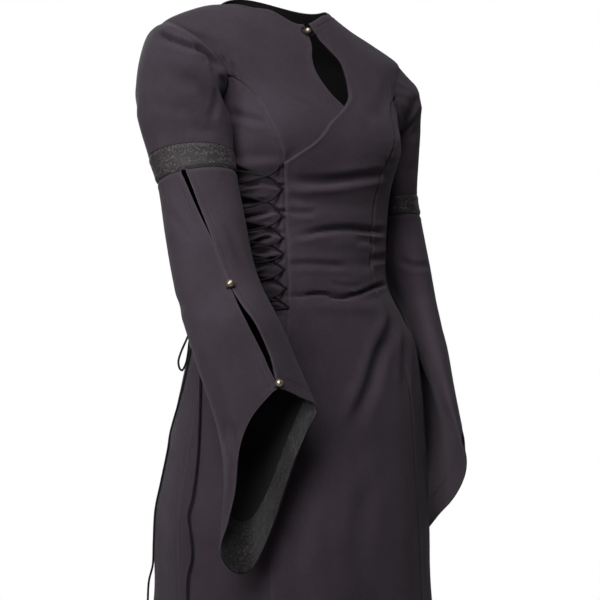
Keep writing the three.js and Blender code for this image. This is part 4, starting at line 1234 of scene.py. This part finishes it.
def make_cords():
    last_run = [lacing_over(at, level) for at, level in LAST_RUN]
    routes = [
        ("lacing_cord_over", "lacing_over", lace_path(0) + to_knot(75)),
        ("lacing_cord_under", "lacing_under", lace_path(1) + last_run + to_knot(25)),
        ("bow_cord_back", "bow_loop_back", from_knot(125) + along_skirt(BOW_BACK) + to_knot(170)),
        ("bow_cord_front", "bow_loop_front", from_knot(-20) + along_skirt(BOW_FRONT) + to_knot(-60)),
        ("tail_cord_back", "lace_end_back", from_knot(215) + along_skirt(BACK_TAIL)),
        ("tail_cord_front", "lace_end_front", from_knot(260) + along_skirt(FRONT_TAIL)),
    ]
    for name, node, points in routes:
        path = smooth_path(points, CORD_STEP)
        obj = tube_object(name, [tube_mesh(path, LACE_RADIUS, strands=3)], [node])
        if name.startswith("tail"):
            down = unit(path[-1] - path[-4])
            knot = overhand(path[-1] + down * END_KNOT["beyond"], END_KNOT["size"], down)
            tip = tube_object(name + "_tip", [tube_mesh(knot, END_KNOT["cord"])])
    winds = []
    turn = np.linspace(0, 2 * np.pi, 40)[:, None]
    for i, angle in enumerate(KNOT["winds"]):
        a = math.radians(angle)
        one = unit(np.array([0.25 * i - 0.2, -math.cos(a), math.sin(a)]))
        two = unit(np.array([1.0, 0.0, 0.1 * i]))
        ring = KNOT_PLACE + KNOT["wind"] * (np.cos(turn) * one + np.sin(turn) * two)
        winds.append(tube_mesh(ring, KNOT["cord"], strands=3))
    tube_object("knot_winds", winds, ["lace_knot"])
    loop = smooth_path([body_point(at, level, LOOP_RADIUS + 0.3) for at, level in NECK_LOOP], 0.8)
    tube_object("neck_loop_cord", [tube_mesh(loop, LOOP_RADIUS, strands=2, pitch=4)], ["neck_loop"])


make_cords()
make_body()
for side, word in SIDES:
    make_sleeve(side, word)


# A bead's form, as shares of its radius, with its ends as an angle from its axis
BEAD = {"rows": 29, "columns": 40, "end": 0.16, "plain": 0.955, "rib": 0.035, "ribs": 10,
        "ring": 0.02, "ring_at": 0.55}


def make_bead(name, centre, axis, node, share=1.0):
    """A round bead with a ridged belt and a ring near each end."""
    rows, columns, end = BEAD["rows"], BEAD["columns"], BEAD["end"]
    axis = unit(np.asarray(axis, float))
    side = unit(np.cross(axis, [0.2, 0.3, 1.0]))
    other = np.cross(axis, side)
    polar = np.linspace(end, np.pi - end, rows)[:, None]
    turn = np.linspace(0, 2 * np.pi, columns, endpoint=False)[None]
    belt = BEAD["rib"] * np.cos(turn * BEAD["ribs"]) * bell((polar - np.pi / 2) / 0.45)
    ring, ring_at = BEAD["ring"], BEAD["ring_at"]
    rings = ring * bell((polar - ring_at) / 0.08) + ring * bell((polar - np.pi + ring_at) / 0.08)
    radius = share * BEAD_RADIUS * (BEAD["plain"] + belt + rings)
    parts = ((np.sin(polar) * np.cos(turn), side), (np.sin(polar) * np.sin(turn), other),
             (np.cos(polar) * np.ones_like(turn), axis))
    points = np.asarray(centre) + sum((radius * way)[..., None] * along for way, along in parts)
    faces = [face[::-1] for face in tube_faces(rows, columns)]
    tube_object(name, [(points.reshape(-1, 3), faces)], [node], "bead", sharp=60)


def make_beads():
    for side, word in SIDES:
        for i, reach in enumerate(SLEEVE_BEADS):
            phi = slit_at(side, reach)
            centre = on_sleeve(side, phi, reach, BEAD_RADIUS + BEAD_GAP)
            along = sleeve_point(side, phi, reach + 5) - sleeve_point(side, phi, reach - 5)
            make_bead(f"sleeve_bead_{word}_{i + 1}", centre, along, f"cuff_bead_{word}_{i + 1}")
    centre = body_point(NECK_BEAD["at"], NECK_BEAD["level"], BEAD_RADIUS + BEAD_GAP)
    make_bead("keyhole_bead", centre, [0.2, 0, 1], "neck_bead", 0.82)


make_beads()


# Stitching, and the small loops that hold the lacing
STITCH = {"length": 2.7, "gap": 1.1, "radius": 0.34}


def stitches_along(route):
    """Small rounded stitches, end to end along a route."""
    length = distances(route, 0)
    starts = np.arange(1.0, length[-1] - STITCH["length"] - 1.0, STITCH["length"] + STITCH["gap"])
    parts = []
    for start in starts:
        along = start + STITCH["length"] * np.array([0, 0.12, 0.5, 0.88, 1])
        path = np.stack([np.interp(along, length, route[:, k]) for k in range(3)], -1)
        size = STITCH["radius"] * np.array([0.3, 0.9, 1, 0.9, 0.3])
        parts.append((rings_along(path, size[:, None], 6), tube_faces(5, 6)))
    return parts


# How far each row of stitches lies from its edge: the first two in degrees round the body, the
# others in millimetres
STITCH_ROWS = {"wrap": 4.0, "seam": 1.3, "neck": 6.5, "hem": 14.0, "slit": 5.0, "mouth": 20.0}
LACE_LOOP = {"radius": 0.75, "spread": 2.2, "out": 0.6, "sunk": -3.2, "turn": 0.8,
             "front": -30.2, "back": -80.5}
# The loop of each sleeve bead, across the slit: angle from its middle, and lift from the cloth
BEAD_LOOP = {"below": 4.5, "turn": np.array([-7, -4, 0, 4, 7]),
             "lift": np.array([0.2, 1.0, 1.4, 1.0, 0.2])}


def make_stitching():
    wrap, seam = np.linspace(-34, WRAP_FOOT + 6, 160), np.linspace(WRAP_FOOT - 4, -430, 120)
    neck, hem = np.linspace(14, 346, 320), np.linspace(0, 360, 500)
    parts = []
    for at, level in ((wrap_edge(wrap) + STITCH_ROWS["wrap"], wrap),
                      (neck, neck * 0 + NECK - STITCH_ROWS["neck"]),
                      (STITCH_ROWS["seam"] - front_seam(seam), seam),
                      (hem, hem * 0 + HEM + STITCH_ROWS["hem"])):
        parts += stitches_along(at_body_cloth(at, level))
    tube_object("body_stitching", parts, finish="thread")
    for side, word in SIDES:
        parts = []
        reach = np.linspace(BAND["to"] + 5, MOUTH_REACH - 4, 180)
        away = slit_open(reach) + np.degrees(STITCH_ROWS["slit"] / SLEEVE_RADIUS)
        for way in (-1, 1):
            parts += stitches_along(at_sleeve_cloth(side, slit_at(side, reach) + way * away, reach))
        start = slit_at(side, MOUTH_REACH) + 8
        phi = np.linspace(start, start + 344, 320)
        reach = phi * 0 + MOUTH_REACH - STITCH_ROWS["mouth"]
        parts += stitches_along(at_sleeve_cloth(side, phi, reach))
        tube_object(f"sleeve_stitching_{word}", parts, finish="thread")


def make_lace_loops():
    spread, out, sunk = (LACE_LOOP[name] for name in ("spread", "out", "sunk"))
    parts = []
    for level in LACE_LEVELS:
        for at in (LACE_LOOP["front"], LACE_LOOP["back"]):
            beyond = at - LACE_LOOP["turn"]
            points = [lacing_over(at, level + spread, sunk), lacing_over(beyond, level + 0.6 * spread, out),
                      lacing_over(beyond, level - 0.6 * spread, out), lacing_over(at, level - spread, sunk)]
            parts.append(tube_mesh(smooth_path(points, 0.7), LACE_LOOP["radius"], sides=8))
    tube_object("lace_loops", parts)


def make_bead_loops():
    """The short cord loop that each sleeve bead passes through."""
    parts = []
    for side, _ in SIDES:
        for reach in SLEEVE_BEADS:
            low = reach + BEAD_LOOP["below"]
            phi = slit_at(side, low) + BEAD_LOOP["turn"]
            points = at_sleeve_cloth(side, phi, phi * 0 + low, BEAD_LOOP["lift"])
            parts.append(tube_mesh(smooth_path(points, 0.7), 0.9, sides=8, strands=2, pitch=3))
    tube_object("bead_loops", parts)


make_stitching()
make_lace_loops()
make_bead_loops()


# Floor, world and lights
FLOOR, FLOOR_SIZE = -1.400, 2.6
LIGHTS = [
    # name, place, size, watts, spread, what it looks at
    ("key", (-1.9, -1.2, 0.75), 1.2, 6.2, 64, (-0.05, 0, -0.22)),
    ("top", (-0.8, -1.0, 1.25), 1.0, 3.3, 56, (-0.05, 0, -0.15)),
    ("low", (-2.2, -0.9, -0.3), 0.7, 0.8, 34, (-0.26, -0.05, -0.42)),
    ("side", (2.2, 0.9, 0.2), 1.4, 4.5, 180, (0, 0, -0.5)),
    ("behind", (0.2, 2.3, 0.7), 1.6, 34, 180, (0, 0, -0.5)),
]
FILL = 0.07


def make_studio():
    mesh = bpy.data.meshes.new("floor")
    corners = [(x * FLOOR_SIZE, y * FLOOR_SIZE, FLOOR) for x, y in ((-1, -1), (1, -1), (1, 1), (-1, 1))]
    mesh.from_pydata(corners, [], [(0, 1, 2, 3)])
    material, _, shader = new_material("pale_floor", 0.9)
    shader.inputs["Base Color"].default_value = (0.86, 0.86, 0.86, 1)
    mesh.materials.append(material)
    show("floor", mesh)
    world = bpy.data.worlds.new("studio")
    world.use_nodes = True
    tree = world.node_tree
    backdrop = tree.nodes["Background"]
    backdrop.inputs["Color"].default_value = (1, 1, 1, 1)
    # Full strength for what the camera sees, a low fill for what the cloth gets
    rays = add_node(tree, "ShaderNodeLightPath")
    level = add_node(tree, "ShaderNodeMapRange")
    level.inputs["To Min"].default_value = FILL
    tree.links.new(rays.outputs["Is Camera Ray"], level.inputs["Value"])
    tree.links.new(level.outputs["Result"], backdrop.inputs["Strength"])
    bpy.context.scene.world = world
    for name, place, width, watts, spread, target in LIGHTS:
        data = bpy.data.lights.new(name, "AREA")
        data.shape = "SQUARE"
        data.size = width
        data.energy = watts
        data.spread = math.radians(spread)
        light = show(name, data)
        light.location = place
        light.rotation_euler = (Vector(target) - Vector(place)).to_track_quat("-Z", "Y").to_euler()


make_studio()
bpy.context.scene.view_settings.view_transform = "Standard"
